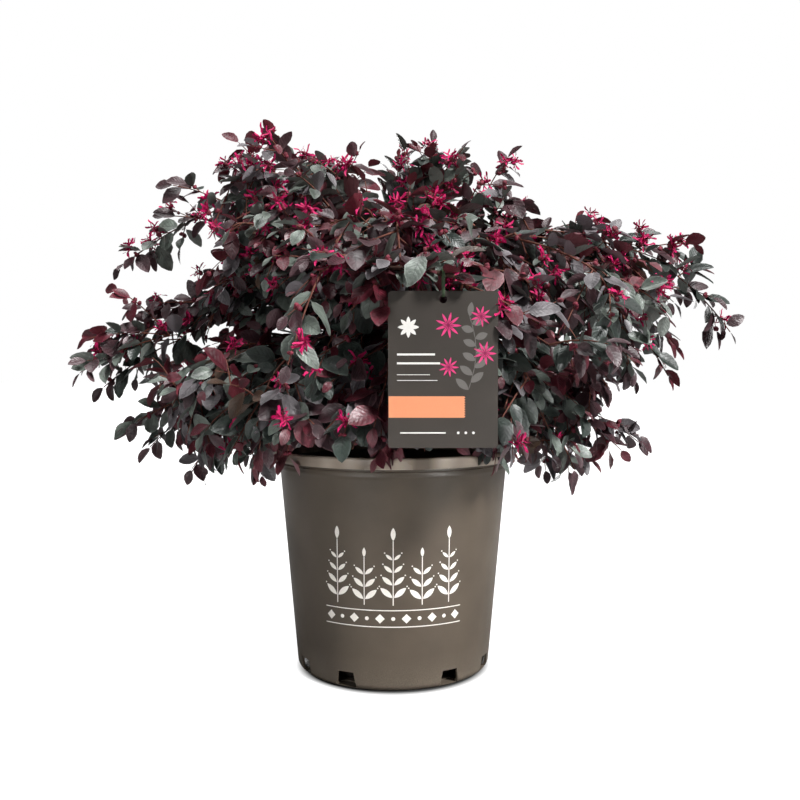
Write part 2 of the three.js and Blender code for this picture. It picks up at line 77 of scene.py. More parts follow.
# Limbs, from bough to twiglet: radius at the foot and at the tip
STEM_RADII = (0.0018, 0.0007)
TWIG_RADII = (0.001, 0.0006)
TWIGLET_RADII = (0.00065, 0.0004)

# Shoots, as in the part's source: lengths here are in millimetres
TIERS = {
    "skirt": {"attach": 222, "split": 0.34, "outward": 0.36, "over": 0.8, "foot_radius": 3.1},
    "shoulder": {"attach": 246, "split": 0.32, "outward": 0.3, "over": 0.78, "foot_radius": 3},
    "top": {"attach": 270, "split": 0.28, "outward": 0.2, "over": 0.55, "foot_radius": 2.7},
}
TWIGGING = {
    "skirt": {"first": 0.02, "twigs": 17, "reach": 74, "droop": 0.8, "lean": 48, "fall": 0.1},
    "shoulder": {"first": 0.02, "twigs": 18, "reach": 84, "droop": 0.8, "lean": 48, "fall": 0.1},
    "top": {"first": 0.02, "twigs": 18, "reach": 80, "droop": 0.7, "lean": 48, "fall": 0.05},
    "leader": {"first": 0.3, "twigs": 22, "reach": 84, "droop": 0.1, "lean": 26, "fall": -0.3},
}
WHORL_STAGGER = 6
# in each tier: azimuth in degrees from +X, reach, height of the tip, height of the apex
SHOOTS = {
    "skirt": (
        (350, 250, 245, 325), (30, 262, 245, 335), (78, 265, 240, 335), (126, 262, 240, 335),
        (168, 240, 232, 345), (206, 248, 242, 332), (235, 205, 258, 325), (268, 200, 292, 350),
        (310, 205, 268, 340),
    ),
    "shoulder": (
        (352, 332, 348, 440), (18, 322, 402, 490), (55, 310, 375, 460), (92, 300, 365, 455),
        (130, 305, 370, 460), (162, 300, 395, 475), (190, 315, 315, 405), (215, 275, 345, 440),
        (272, 225, 372, 435), (318, 265, 350, 430),
    ),
    "top": (
        (177, 222, 482, 545), (205, 235, 440, 492), (252, 175, 405, 452), (302, 185, 400, 450),
        (350, 215, 432, 478), (48, 205, 435, 474), (112, 200, 445, 484),
    ),
}
LEADER = {"lean": 46, "azimuth": 5, "tip": 512}
TAG_SHOOT = {"azimuth": 236, "attach": 264, "split": 0.83}
TAG_SHOOT_OVER = ((-60, -90, 384), (-96, -268, 425), (150, -236, 352))
CROWN = {"x": 20, "y": 10, "z": 290, "across": 358, "deep": 330, "rise": 284, "fall": 114}
CROWN_POWER = 2.3
# direction in degrees from the crown's right, and how far out of the mound's size it is dense
OUTLINE = (
    (-90, 0.85), (-60, 0.67), (-30, 0.47), (-4, 0.5), (10, 0.68), (22, 0.81), (42, 0.71), (60, 0.61),
    (72, 0.77), (84, 0.76), (92, 0.77), (104, 0.79), (112, 0.8), (122, 0.88), (140, 0.62), (158, 0.6),
    (168, 0.78), (180, 0.85), (188, 0.6), (210, 0.74), (240, 0.85),
)
SPARSE = {"width": 0.1, "share": 0.3, "stem": 0.02}

# Foliage
TWIG_SIZES = (1.15, 0.95, 0.75, 0.55)
TWIG_ROLLS = {"leader": (0, 90, 45, 135), "other": (0, 0, 55, -50)}
TWIGLETS = {"count": 4, "first": 0.2, "last": 0.92, "length": 0.048, "lean": 44}
TIP_TWIGS = {"count": 3, "lean": 34, "length": 0.062}
SPURS = {"first": 0.35, "spacing": 0.011, "length": 0.036, "droop": 0.4}
FILL = {
    "seed": 7, "tries": 14000, "inside": 0.05, "hole": 0.02, "shortest": 0.008, "reach": 0.13, "lift": 0.2
}
LEAF_SPACING = 0.0092
LEAF_LENGTH = 0.031
LEAF_SIZES = (0.6, 1.15)
# width and stalk as shares of the length
LEAF_WIDTH = 0.6
PETIOLE = 0.09
# fold, curl, ripple and sideways bend of each kind of leaf
LEAF_FORMS = (
    (0.3, 0.1, 0.08, 0.03), (0.18, 0.22, 0.14, -0.05), (0.42, 0.02, 0.07, 0.0), (0.12, 0.3, 0.16, 0.06),
)
PETAL_LENGTHS = (0.006, 0.0105)
PETAL_WIDTH = 0.23
# curl and twist of each kind of petal
PETAL_FORMS = ((0.35, 0.8), (0.65, -1.1), (-0.15, 0.5))
HEADS = {"share": 0.25, "low": 0.11, "high": 0.44, "stalk": 0.0075}
SPACE_OVERLAP = 0.012
LIMB_CLEARANCE = 0.001
# tips of the sprays that stand out of the crown: X, height and length in millimetres, and how steeply
# they climb inwards, beyond pointing at the heart
STRAYS = (
    (-232, 495, 70, 0), (-243, 465, 75, 0.1), (-298, 410, 110, 0.5), (-298, 393, 55, -0.4),
    (-205, 395, 60, -0.1), (-272, 368, 100, -0.2), (-250, 376, 90, -0.25), (-225, 384, 80, -0.3),
    (-322, 336, 90, 0), (-318, 326, 110, 0), (-328, 312, 90, 0), (-333, 300, 110, 0),
    (-316, 284, 90, 0), (-250, 264, 70, 0), (-283, 240, 75, 0), (-268, 218, 70, 0), (-218, 192, 60, 0),
    (-140, 190, 50, 0), (-185, 528, 65, 0), (-165, 542, 60, 0), (-178, 345, 60, 0.2),
    (-156, 342, 60, 0.3), (-132, 354, 50, 0.3), (-96, 345, 60, 0.3), (-80, 340, 50, 0.2),
    (360, 341, 60, 0.25), (338, 388, 60, 0), (334, 414, 50, 0), (304, 326, 70, 0.2),
    (289, 294, 55, 0.2), (258, 288, 75, 0.5), (273, 222, 75, 0), (250, 214, 70, 0), (222, 200, 60, 0),
    (192, 196, 55, 0), (166, 192, 50, 0), (-141, 549, 65, 0), (-95, 532, 45, 0), (42, 552, 45, 0),
    (76, 546, 50, 0), (124, 530, 50, 0), (150, 480, 45, 0), (224, 468, 50, 0), (276, 455, 45, 0),
    (317, 436, 60, 0),
)
# the same for sprays at the very front and back, each with its Y and the colour at its foot
DEEP_STRAYS = (
    (-84, 300, 60, 0.5, -268, "grey_green"), (166, 316, 60, 0.7, -272, "deep_green"),
    (72, 336, 60, 0.4, 300, "plum"), (-70, 322, 60, 0.4, 292, "slate"),
)
STRAY_HEART = (20, 420)
STRAY = {"seed": 31, "depth": 30, "lift": 0.1, "per_twiglet": 28, "spacing": 0.0115, "last_leaf": 11}
RIM_VIEW = {"low_x": -0.104, "high_x": 0.082, "z": 0.236}
RIM_SPRAYS = (
    ("rose", -0.012, -0.131, 0.227), ("rose", 0.001, -0.129, 0.232), ("deep_green", 0.086, -0.104, 0.228),
    ("rose", -0.1, -0.09, 0.224), ("rose", -0.112, -0.072, 0.226),
)

# Colours that leaves are dealt by spray: upper face, paler underside, and how many sprays in a hundred
# have it low in the crown, high in it and on its top
# The weights are partly the plant's own colouring and partly painted light: they deal the paler tints more
# often on the lit top of the crown and the darkest green more often low on it, in its shade.
LEAF_TINTS = {
    "grey_green": ("#677068", "#7f857f", 16, 29, 36),
    "deep_green": ("#2f3833", "#505852", 31, 17, 8),
    "slate": ("#696467", "#878185", 14, 17, 28),
    "plum": ("#422a2f", "#6a4f54", 21, 18, 12),
    "rose": ("#703c43", "#8a565c", 7, 6, 9),
    "burgundy": ("#551a26", "#74303a", 9, 11, 6),
    "bronze": ("#46352a", "#655142", 2, 2, 1),
}
TOP = 0.46
# where the crown's skirt ends, and over what height it becomes its top
RAISED = {"from": 0.27, "over": 0.14}


# Small tools


def linear(colour):
    """A hex colour as linear red, green, blue and alpha."""
    parts = [int(colour[i:i + 2], 16) / 255 for i in (1, 3, 5)]
    return tuple(c / 12.92 if c <= 0.04045 else ((c + 0.055) / 1.055) ** 2.4 for c in parts) + (1.0,)


def polar(radius, azimuth, height):
    turn = math.radians(azimuth)
    return Vector((radius * math.cos(turn), radius * math.sin(turn), height))


def arc(centre, radius, start, end, steps):
    """Points on an arc in a profile's plane, from one angle in degrees to another."""
    turns = [math.radians(start + (end - start) * i / steps) for i in range(steps + 1)]
    return [(centre[0] + radius * math.cos(t), centre[1] + radius * math.sin(t)) for t in turns]


def bezier(*controls):
    """A curve through the first and last of its controls, as a function of 0 to 1."""
    def at(share):
        points = list(controls)
        while len(points) > 1:
            points = [a.lerp(b, share) for a, b in zip(points, points[1:])]
        return points[0]
    return at


def evenly(curve, start, end, count):
    """Points spaced evenly along a stretch of a curve."""
    samples = 60
    fine = np.array([curve(start + (end - start) * i / samples) for i in range(samples + 1)])
    steps = np.linalg.norm(np.diff(fine, axis=0), axis=1)
    lengths = np.concatenate([[0], np.cumsum(steps)])
    wanted = np.linspace(0, lengths[-1], count)
    return np.column_stack([np.interp(wanted, lengths, fine[:, k]) for k in range(3)])


def frames_along(points):
    """Heading and two side vectors at each point of a path, carried along it without twist."""
    headings = np.gradient(points, axis=0)
    side = Vector(headings[0]).orthogonal().normalized()
    frames = []
    for heading in map(Vector, headings):
        heading.normalize()
        side = (side - heading * side.dot(heading)).normalized()
        frames.append((heading, side, heading.cross(side)))
    return frames


def new_object(name, data):
    item = bpy.data.objects.new(name, data)
    bpy.context.scene.collection.objects.link(item)
    return item


def new_piece(name, mesh, material, slot, *nodes):
    """An object at the origin that rides on the plant's one body and stands in for the nodes."""
    piece = new_object(name, mesh)
    mesh.name = name
    mesh.materials.append(material)
    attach(piece, "root")
    if nodes:
        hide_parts(*nodes)


def mesh_from(bm, smooth_angle=None, to_front=False):
    """The finished mesh: doubles merged, faces outward or all to the front, edges past the angle sharp."""
    bmesh.ops.remove_doubles(bm, verts=bm.verts, dist=1e-6)
    bmesh.ops.recalc_face_normals(bm, faces=bm.faces)
    if to_front:
        bm.normal_update()
        bmesh.ops.reverse_faces(bm, faces=[face for face in bm.faces if face.normal.y > 0])
    mesh = bpy.data.meshes.new("shape")
    bm.to_mesh(mesh)
    bm.free()
    mesh.shade_smooth()
    if smooth_angle is not None:
        mesh.set_sharp_from_angle(angle=math.radians(smooth_angle))
    return mesh


def spun(profile, steps):
    """The mesh of a profile of radii and heights that is spun round the pot's axis."""
    bm = bmesh.new()
    verts = [bm.verts.new((radius, 0, height)) for radius, height in profile]
    edges = [bm.edges.new(pair) for pair in zip(verts, verts[1:])]
    turn = {"cent": (0, 0, 0), "axis": (0, 0, 1), "angle": 2 * math.pi}
    bmesh.ops.spin(bm, geom=verts + edges, steps=steps, use_merge=True, **turn)
    return mesh_from(bm)


def pushed(bm, faces, by):
    """Faces are extruded by a vector, and the vertices that moved are given back."""
    made = bmesh.ops.extrude_face_region(bm, geom=faces)["geom"]
    moved = [g for g in made if isinstance(g, bmesh.types.BMVert)]
    bmesh.ops.translate(bm, vec=by, verts=moved)
    return moved


def laid(bm, columns, rows, place):
    """A grid, each of whose vertices is put where a function of its X and Y, from -1 to 1, says."""
    for vert in bmesh.ops.create_grid(bm, x_segments=columns, y_segments=rows, size=1)["verts"]:
        vert.co = place(vert.co.x, vert.co.y)


def cut_by(blank, cutter):
    """The blank's mesh with the cutter's taken out of it."""
    blank, cutter = new_object("blank", blank), new_object("cutter", cutter)
    modifier = blank.modifiers.new("cut", "BOOLEAN")
    modifier.operation = "DIFFERENCE"
    modifier.object = cutter
    modifier.solver = "EXACT"
    bpy.context.view_layer.update()
    shaped = blank.evaluated_get(bpy.context.evaluated_depsgraph_get())
    mesh = bpy.data.meshes.new_from_object(shaped)
    bpy.data.objects.remove(blank)
    bpy.data.objects.remove(cutter)
    mesh.materials.clear()
    return mesh


# Shapes that are repeated by the hundred or thousand, as arrays

Shape = namedtuple("Shape", "points faces uvs")


def shape_of(bm):
    """A small shape's points, triangles and their UVs, and its bmesh freed."""
    bmesh.ops.triangulate(bm, faces=bm.faces)
    bm.verts.index_update()
    layer = bm.loops.layers.uv.verify()
    points = np.array([v.co for v in bm.verts])
    faces = np.array([[v.index for v in face.verts] for face in bm.faces])
    uvs = np.array([[loop[layer].uv for loop in face.loops] for face in bm.faces])
    bm.free()
    return Shape(points, faces, uvs)


def repeated(shape, matrices):
    """The shape at each of the matrices."""
    matrices = np.array(matrices)
    placed = np.einsum("nij,pj->npi", matrices[:, :3, :3], shape.points) + matrices[:, None, :3, 3]
    offsets = np.arange(len(matrices))[:, None, None] * len(shape.points)
    uvs = np.broadcast_to(shape.uvs, (len(matrices), *shape.uvs.shape))
    return Shape(placed.reshape(-1, 3), (shape.faces + offsets).reshape(-1, 3), uvs.reshape(-1, 2))


def joined(parts):
    """One smooth mesh of all the parts."""
    points = np.concatenate([part.points for part in parts])
    starts = np.cumsum([0] + [len(part.points) for part in parts[:-1]])
    faces = np.concatenate([part.faces + start for part, start in zip(parts, starts)])
    uvs = np.concatenate([part.uvs for part in parts])
    mesh = bpy.data.meshes.new("shape")
    mesh.vertices.add(len(points))
    mesh.vertices.foreach_set("co", points.astype(np.float32).ravel())
    mesh.loops.add(faces.size)
    mesh.loops.foreach_set("vertex_index", faces.astype(np.int32).ravel())
    mesh.polygons.add(len(faces))
    mesh.polygons.foreach_set("loop_start", np.arange(0, faces.size, 3, dtype=np.int32))
    mesh.uv_layers.new(name="UVMap").data.foreach_set("uv", uvs.astype(np.float32).ravel())
    mesh.update(calc_edges=True)
    mesh.shade_smooth()
    return mesh


def dealt(shapes, matrices):
    """One mesh of all the matrices, with the shapes dealt out to them in turn."""
    return joined([repeated(shape, matrices[k::len(shapes)]) for k, shape in enumerate(shapes)])


def placing(foot, along, facing, size):
    """The matrix that puts a shape's X along a heading and its Z towards a facing."""
    along = along.normalized()
    upper = (facing - along * facing.dot(along)).normalized()
    across = upper.cross(along)
    turn = Matrix((along * size, across * size, upper * size)).transposed().to_4x4()
    return Matrix.Translation(foot) @ turn


def tube(points, radii, sides):
    """A closed tapering tube along a path, pointed at both ends."""
    frames = frames_along(points)
    turns = 2 * math.pi * np.arange(sides) / sides
    rings = []
    for point, radius, (_, side, other) in zip(points, radii, frames):
        ring = np.outer(np.cos(turns), side) + np.outer(np.sin(turns), other)
        rings.append(point + radius * ring)
    foot = points[0] - radii[0] * np.array(frames[0][0])
    tip = points[-1] + 1.5 * radii[-1] * np.array(frames[-1][0])
    count = len(points)
    faces = []
    for k in range(sides):
        after = (k + 1) % sides
        for i in range(count - 1):
            low, high = i * sides, (i + 1) * sides
            faces += [(low + k, low + after, high + after), (low + k, high + after, high + k)]
        last = (count - 1) * sides
        faces += [(after, k, count * sides), (last + k, last + after, count * sides + 1)]
    points = np.concatenate([*rings, [foot, tip]])
    return Shape(points, np.array(faces), np.zeros((3 * len(faces), 2)))


# Shader tools


def feed(tree, socket, value):
    """An input is linked from a socket, or set to a constant. A hex string is a colour."""
    if isinstance(value, bpy.types.NodeSocket):
        tree.links.new(value, socket)
    else:
        socket.default_value = linear(value) if isinstance(value, str) else value


def new_material(name):
    material = bpy.data.materials.new(name)
    material.use_nodes = True
    return material, material.node_tree


def shade(material, **values):
    """The sockets of the material's one Principled shader are fed, each by its name in lower case."""
    shader = material.node_tree.nodes["Principled BSDF"]
    for key, value in values.items():
        label = key.replace("_", " ").title().replace("Ior", "IOR")
        feed(material.node_tree, shader.inputs[label], value)
    return material


def add_node(tree, kind, inputs=None, **settings):
    """A shader node with its settings, and its inputs fed."""
    node = tree.nodes.new("ShaderNode" + kind)
    for key, value in settings.items():
        setattr(node, key, value)
    for key, value in (inputs or {}).items():
        feed(tree, node.inputs[key], value)
    return node


def mixed(tree, share, first, second):
    """A colour between two, by a share."""
    node = add_node(tree, "Mix", data_type="RGBA")
    sockets = [s for s in node.inputs if s.enabled]
    for socket, value in zip(sockets, (share, first, second)):
        feed(tree, socket, value)
    return [s for s in node.outputs if s.enabled][0]


def reckoned(tree, operation, first, second=0.0):
    return add_node(tree, "Math", {0: first, 1: second}, operation=operation).outputs[0]


def ranged(tree, value, made=(0.0, 1.0), given=(0.0, 1.0)):
    """A number carried over from the range that it is given in to the one that is made of it."""
    return add_node(tree, "MapRange", dict(enumerate((value, *given, *made)))).outputs[0]


def bumped(tree, height, distance, strength):
    return add_node(tree, "Bump", {"Height": height, "Distance": distance, "Strength": strength}).outputs[0]


def noisy(tree, place, scale, detail):
    return add_node(tree, "TexNoise", {"Vector": place, "Scale": scale, "Detail": detail}).outputs["Fac"]


def streaked(tree, place, squeeze, scale, detail):
    """Noise that is drawn out upright."""
    drawn = add_node(tree, "Mapping", {"Vector": place, "Scale": (1, 1, squeeze)})
    return noisy(tree, drawn.outputs[0], scale, detail)


def new_group(name, inputs, outputs):
    """A shader node group with named inputs, floats or vectors for None, and named float outputs."""
    group = bpy.data.node_groups.new(name, "ShaderNodeTree")
    for key, value in inputs.items():
        kind = "NodeSocketFloat" if value is not None else "NodeSocketVector"
        socket = group.interface.new_socket(key, in_out="INPUT", socket_type=kind)
        if value is not None:
            socket.default_value = value
    for key in outputs:
        group.interface.new_socket(key, in_out="OUTPUT", socket_type="NodeSocketFloat")
    return group, group.nodes.new("NodeGroupInput").outputs, group.nodes.new("NodeGroupOutput").inputs


def blotch_group():
    """Soft blotches and fine grain over a surface, both from 0 to 1."""
    group, given, made = new_group("blotches", {"size": 0.02, "grain": 0.0008}, ("Blotch", "Grain"))
    place = add_node(group, "TexCoord").outputs["Object"]
    for size, key in (("size", "Blotch"), ("grain", "Grain")):
        cloud = noisy(group, place, reckoned(group, "DIVIDE", 1.0, given[size]), 4.0)
        group.links.new(ranged(group, cloud, given=(0.3, 0.7)), made[key])
    return group


def vein_group():
    """A leaf's midrib and its side veins, from its own UV map: V runs from foot to tip."""
    group, given, made = new_group("leaf_veins", {"uv": None}, ("Vein", "Margin", "Height"))
    parts = add_node(group, "SeparateXYZ", {0: given["uv"]}).outputs
    sum_of = partial(reckoned, group)
    aside = sum_of("ABSOLUTE", sum_of("SUBTRACT", parts["X"], 0.5))
    midrib = sum_of("LESS_THAN", aside, 0.03)
    slant = sum_of("SUBTRACT", parts["Y"], sum_of("MULTIPLY", aside, 0.55))
    wave = sum_of("ABSOLUTE", sum_of("SINE", sum_of("MULTIPLY", slant, 7 * math.pi)))
    side_vein = sum_of("MULTIPLY", sum_of("LESS_THAN", wave, 0.16), 0.5)
    # The vein mask marks where the leaf's colour gets painted shade, and the margin mask where it gets a
    # painted highlight.
    group.links.new(sum_of("MAXIMUM", midrib, side_vein), made["Vein"])
    group.links.new(sum_of("GREATER_THAN", aside, 0.44), made["Margin"])
    group.links.new(sum_of("SUBTRACT", sum_of("MULTIPLY", wave, 0.5), midrib), made["Height"])
    return group


blotches = blotch_group()
leaf_veins = vein_group()


def clouds(tree, size, grain):
    """Soft blotches and fine grain of these sizes."""
    made = add_node(tree, "Group", {"size": size, "grain": grain}, node_tree=blotches).outputs
    return made["Blotch"], made["Grain"]


# Materials


def leaf_material(tint):
    """A satin leaf with painted shade along its sunken veins and a painted highlight on its margin, paler on
    its underside, puckered between.
    """
    upper, under = (linear(c) for c in LEAF_TINTS[tint][:2])
    material, tree = new_material("leaf_" + tint)
    uv = add_node(tree, "UVMap").outputs["UV"]
    veins = add_node(tree, "Group", {"uv": uv}, node_tree=leaf_veins).outputs
    blotch, grain = clouds(tree, 0.012, 0.0035)
    light, dark = (tuple(amount * c for c in upper[:3]) + (1,) for amount in (1.35, 0.45))
    # Painted shade: the colour is darkened along the midrib and the side veins, in their creases.
    painted_vein_shade = reckoned(tree, "MULTIPLY", veins["Vein"], 0.75)
    painted_vein_shaded = mixed(tree, painted_vein_shade, mixed(tree, blotch, light, dark), dark)
    # Painted highlight: the margin is mixed halfway to the paler underside colour.
    face = mixed(tree, reckoned(tree, "MULTIPLY", veins["Margin"], 0.5), painted_vein_shaded, under)
    back = add_node(tree, "NewGeometry").outputs["Backfacing"]
    pucker = reckoned(tree, "ADD", grain, veins["Height"])
    return shade(
        material, base_color=mixed(tree, back, face, under), roughness=ranged(tree, blotch, (0.34, 0.55)),
        normal=bumped(tree, pucker, 0.0006, 0.45), coat_weight=0.17, coat_roughness=0.33,
    )


def petal_material():
    """Cerise strap petals, deeper towards their foot and softly blotched."""
    material, tree = new_material("petal_cerise")
    along = add_node(tree, "SeparateXYZ", {0: add_node(tree, "UVMap").outputs["UV"]}).outputs["Y"]
    blotch, grain = clouds(tree, 0.004, 0.0006)
    colour = mixed(tree, blotch, mixed(tree, along, "#960b40", "#de1670"), "#ad0d50")
    bump = bumped(tree, grain, 0.0002, 0.4)
    return shade(material, base_color=colour, roughness=0.6, specular_ior_level=0.3, normal=bump)


def bud_material():
    """Crimson buds in russet, downy husks."""
    material, tree = new_material("bud_crimson")
    blotch, grain = clouds(tree, 0.0025, 0.0005)
    colour = mixed(tree, blotch, "#8c2a40", "#561c26")
    return shade(material, base_color=colour, roughness=0.7, normal=bumped(tree, grain, 0.0003, 0.6))


def bark_material(name, light, dark, flake):
    """Bark with long pale streaks, dark cracks and fine grain."""
    material, tree = new_material(name)
    streaks = streaked(tree, add_node(tree, "TexCoord").outputs["Object"], 0.25, 1 / flake, 6.0)
    blotch, grain = clouds(tree, 0.006, 0.0006)
    speck = reckoned(tree, "MULTIPLY", blotch, 0.6)
    return shade(
        material, base_color=mixed(tree, speck, mixed(tree, streaks, dark, light), dark),
        roughness=ranged(tree, grain, (0.65, 0.95)), normal=bumped(tree, streaks, 0.0006, 0.7),
    )


def pot_material():
    """Satin taupe plastic: a rim painted paler than the wall and streaked with painted reflections, moulded
    grain, and dust that has settled near the foot.
    """
    material, tree = new_material("pot_plastic")
    blotch, grain = clouds(tree, 0.05, 0.0009)
    place = add_node(tree, "TexCoord").outputs["Object"]
    height = add_node(tree, "SeparateXYZ", {0: place}).outputs["Z"]
    band = reckoned(tree, "GREATER_THAN", height, POT_HEIGHT - RIM_BAND - 0.001)
    # Painted highlight: the rim band is mixed to a paler colour than the wall, and its pale upright streaks
    # are painted reflections.
    painted_rim_reflections = ranged(tree, streaked(tree, place, 0.02, 26.0, 1.0), given=(0.38, 0.62))
    wall = mixed(tree, blotch, "#594f44", "#4f463c")
    clean = mixed(tree, band, wall, mixed(tree, painted_rim_reflections, "#74685c", "#b9ab9c"))
    dust = reckoned(tree, "MULTIPLY", ranged(tree, height, (0.35, 0.0), (0.0, 0.035)), grain)
    polish = reckoned(tree, "MULTIPLY", band, 0.12)
    return shade(
        material, base_color=mixed(tree, dust, clean, "#8c8173"), specular_ior_level=0.4,
        roughness=reckoned(tree, "SUBTRACT", ranged(tree, blotch, (0.3, 0.42)), polish),
        normal=bumped(tree, grain, 0.00008, 0.5),
    )


def printed_material(name, colour, worn):
    """Screen-printed ink, a little thin in places."""
    material, tree = new_material(name)
    blotch, grain = clouds(tree, 0.01, 0.0005)
    thin = ranged(tree, grain, (0.0, 0.35), (0.55, 0.9))
    return shade(
        material, base_color=mixed(tree, thin, colour, worn), roughness=ranged(tree, blotch, (0.38, 0.55))
    )


def card_material(name, light, dark, fibre):
    """Coated card or strap plastic with a very fine grain."""
    material, tree = new_material(name)
    blotch, grain = clouds(tree, 0.03, fibre)
    return shade(
        material, base_color=mixed(tree, blotch, light, dark), roughness=ranged(tree, grain, (0.36, 0.5)),
        normal=bumped(tree, grain, 0.00005, 0.5),
    )


def soil_material():
    """Moist bark mix, nearly black with brown specks."""
    material, tree = new_material("soil_mix")
    blotch, grain = clouds(tree, 0.012, 0.002)
    return shade(
        material, base_color=mixed(tree, grain, "#17120f", "#3a2c22"),
        roughness=ranged(tree, blotch, (0.6, 1.0)), normal=bumped(tree, grain, 0.002, 0.8),
    )


# Pot


def wall_radius(height):
    share = (height - CORNER_RADIUS) / (POT_HEIGHT - RIM_BAND - CORNER_RADIUS)
    return WALL_FOOT_RADIUS + (WALL_TOP_RADIUS - WALL_FOOT_RADIUS) * share


def pot_profile():
    """Radius and height, from the middle of the underside round the rim to the middle of the floor."""
    under = POT_HEIGHT - RIM_BAND
    foot = arc((WALL_FOOT_RADIUS - CORNER_RADIUS, CORNER_RADIUS), CORNER_RADIUS, -90, 0, 8)
    ridge_low, ridge_high, proud = under - 0.011, under - 0.0045, 0.0004
    ridge = []
    steps = 8
    for i in range(steps + 1):
        height = ridge_low + (ridge_high - ridge_low) * i / steps
        ridge.append((wall_radius(height) + proud * math.sin(math.pi * i / steps) ** 2, height))
    deep = WALL_TOP_RADIUS - GROOVE["deep"]
    groove = [(wall_radius(under - GROOVE["tall"]), under - GROOVE["tall"])]
    groove += [(deep, under - GROOVE["tall"] + 0.0006), (deep, under)]
    foot_round, lip_round, inner_round = 0.0014, 0.0021, 0.0016
    band_foot = arc((RIM_RADIUS - 0.0016, under + foot_round), foot_round, -90, -8, 5)
    lip = arc((RIM_RADIUS - 0.002, POT_HEIGHT - 0.002), lip_round, -8, 90, 8)
    inner_lip = arc((RIM_RADIUS - 0.006, POT_HEIGHT - inner_round), inner_round, 90, 170, 4)
    inner_corner = (WALL_FOOT_RADIUS - CORNER_RADIUS, CORNER_RADIUS + 0.001)
    inner_floor = arc(inner_corner, CORNER_RADIUS - WALL, 0, -90, 5)
    inside = [(deep - WALL, under), *inner_floor]
    return [(0, 0), *foot, *ridge, *groove, *band_foot, *lip, *inner_lip, *inside, (0, FLOOR)]


def notch_cutter(bm, azimuth):
    """A drain notch's outline pushed out through the wall."""
    start = WALL_FOOT_RADIUS - 2 * CORNER_RADIUS
    outline = [bm.verts.new((start, x, z)) for x, z in NOTCH_OUTLINE]
    moved = pushed(bm, [bm.faces.new(outline)], (3 * CORNER_RADIUS, 0, 0))
    turn = Matrix.Rotation(math.radians(azimuth), 4, "Z")
    bmesh.ops.transform(bm, matrix=turn, verts=outline + moved)


def make_pot():
    cutters = bmesh.new()
    for pair in range(NOTCH["pairs"]):
        for side in (-1, 1):
            notch_cutter(cutters, NOTCH["first"] + pair * NOTCH["step"] + side * NOTCH["half_gap"])
    mesh = cut_by(spun(pot_profile(), 180), mesh_from(cutters))
    mesh.shade_smooth()
    mesh.set_sharp_from_angle(angle=math.radians(32))
    new_piece("pot_body", mesh, pot_material(), "pot", "pot")


# The border printed on the pot: rows of sprigs, rules and lozenges. Its places are given flat, as
# distance round the wall and height, and then wrapped.

PRINT = {"lift": 0.00012, "low": 0.064, "half_width": 0.069, "lozenges": 11, "sprigs": 5}


def add_leaf_print(bm, foot, turn, length, width):
    """A flat pointed leaf from its foot, turned by some degrees from upright."""
    turn = math.radians(turn)

    def place(x, y):
        along = (x + 1) / 2
        aside = y * width / 2 * math.sin(math.pi * along) ** 0.8
        along *= length
        across = foot[0] + along * math.sin(turn) + aside * math.cos(turn)
        return across, 0, foot[1] + along * math.cos(turn) - aside * math.sin(turn)

    laid(bm, 8, 2, place)


def add_dot_print(bm, centre, radius, segments=16):
    disc = bmesh.ops.create_circle(bm, cap_ends=True, cap_tris=True, segments=segments, radius=radius)
    for vert in disc["verts"]:
        vert.co = (centre[0] + vert.co.x, 0, centre[1] + vert.co.y)


def add_rule_print(bm, centre, length, thick):
    def place(x, y):
        return centre[0] + x * length / 2, 0, centre[1] + y * thick / 2

    laid(bm, max(2, int(length / 0.002)), 1, place)


def add_sprig_print(bm, x, low, height, pairs):
    """An upright stalk with pairs of leaves, a leaf at its top and a dot at each side leaf's tip."""
    half_stalk, lean = 0.00045, 50
    laid(bm, 2, 12, lambda across, up: (x + across * half_stalk, 0, low + (up + 1) / 2 * height))
    for pair in range(pairs):
        level = low + height * (0.12 + 0.78 * pair / pairs)
        length = 0.0148 - 0.0022 * pair
        beyond = length + 0.0022
        for side in (-1, 1):
            add_leaf_print(bm, (x + side * 0.0008, level), side * lean, length, length * 0.36)
            tip = math.radians(lean)
            add_dot_print(bm, (x + side * beyond * math.sin(tip), level + beyond * math.cos(tip)), 0.0007)
    add_leaf_print(bm, (x, low + height), 0, height * 0.2, height * 0.075)


def wrapped_on_wall(bm):
    """Flat places become places on the pot's wall, at the front, a hair proud of it."""
    for vert in bm.verts:
        radius = wall_radius(vert.co.z) + PRINT["lift"]
        turn = vert.co.x / radius - math.pi / 2
        vert.co = (radius * math.cos(turn), radius * math.sin(turn), vert.co.z)


def make_pot_print():
    bm = bmesh.new()
    half, low = PRINT["half_width"], PRINT["low"]
    for level in (0.0, 0.016):
        add_rule_print(bm, (0, low + level), 2 * half, 0.0009)
    for i in range(PRINT["lozenges"]):
        centre = (-half + 2 * half * (i + 0.5) / PRINT["lozenges"], low + 0.008)
        if i % 2:
            add_dot_print(bm, centre, 0.0019)
        else:
            add_dot_print(bm, centre, 0.0046, segments=4)
    for i in range(PRINT["sprigs"]):
        x = -half + 2 * half * (i + 0.5) / PRINT["sprigs"]
        height, pairs = (0.046, 3) if i % 2 else (0.062, 4)
        add_sprig_print(bm, x, low + 0.021, height, pairs)
    wrapped_on_wall(bm)
    ink = printed_material("pot_ink", "#efeae2", "#a79f94")
    new_piece("pot_print", mesh_from(bm, to_front=True), ink, "pot")


# Soil


def soil_height(x, y):
    """A low mound round the trunk, lumpy with bark pieces."""
    radius = math.hypot(x, y)
    edge = wall_radius(SOIL_TOP) - WALL
    level_radius = 0.06
    sag = 0.005 * max(0.0, (radius - level_radius) / (edge - level_radius)) ** 2
    lumps = noise.fractal(Vector((x, y, 0)) * 90, 1.0, 2.0, 4) * 0.0022
    return SOIL_TOP - 0.0015 - sag + lumps


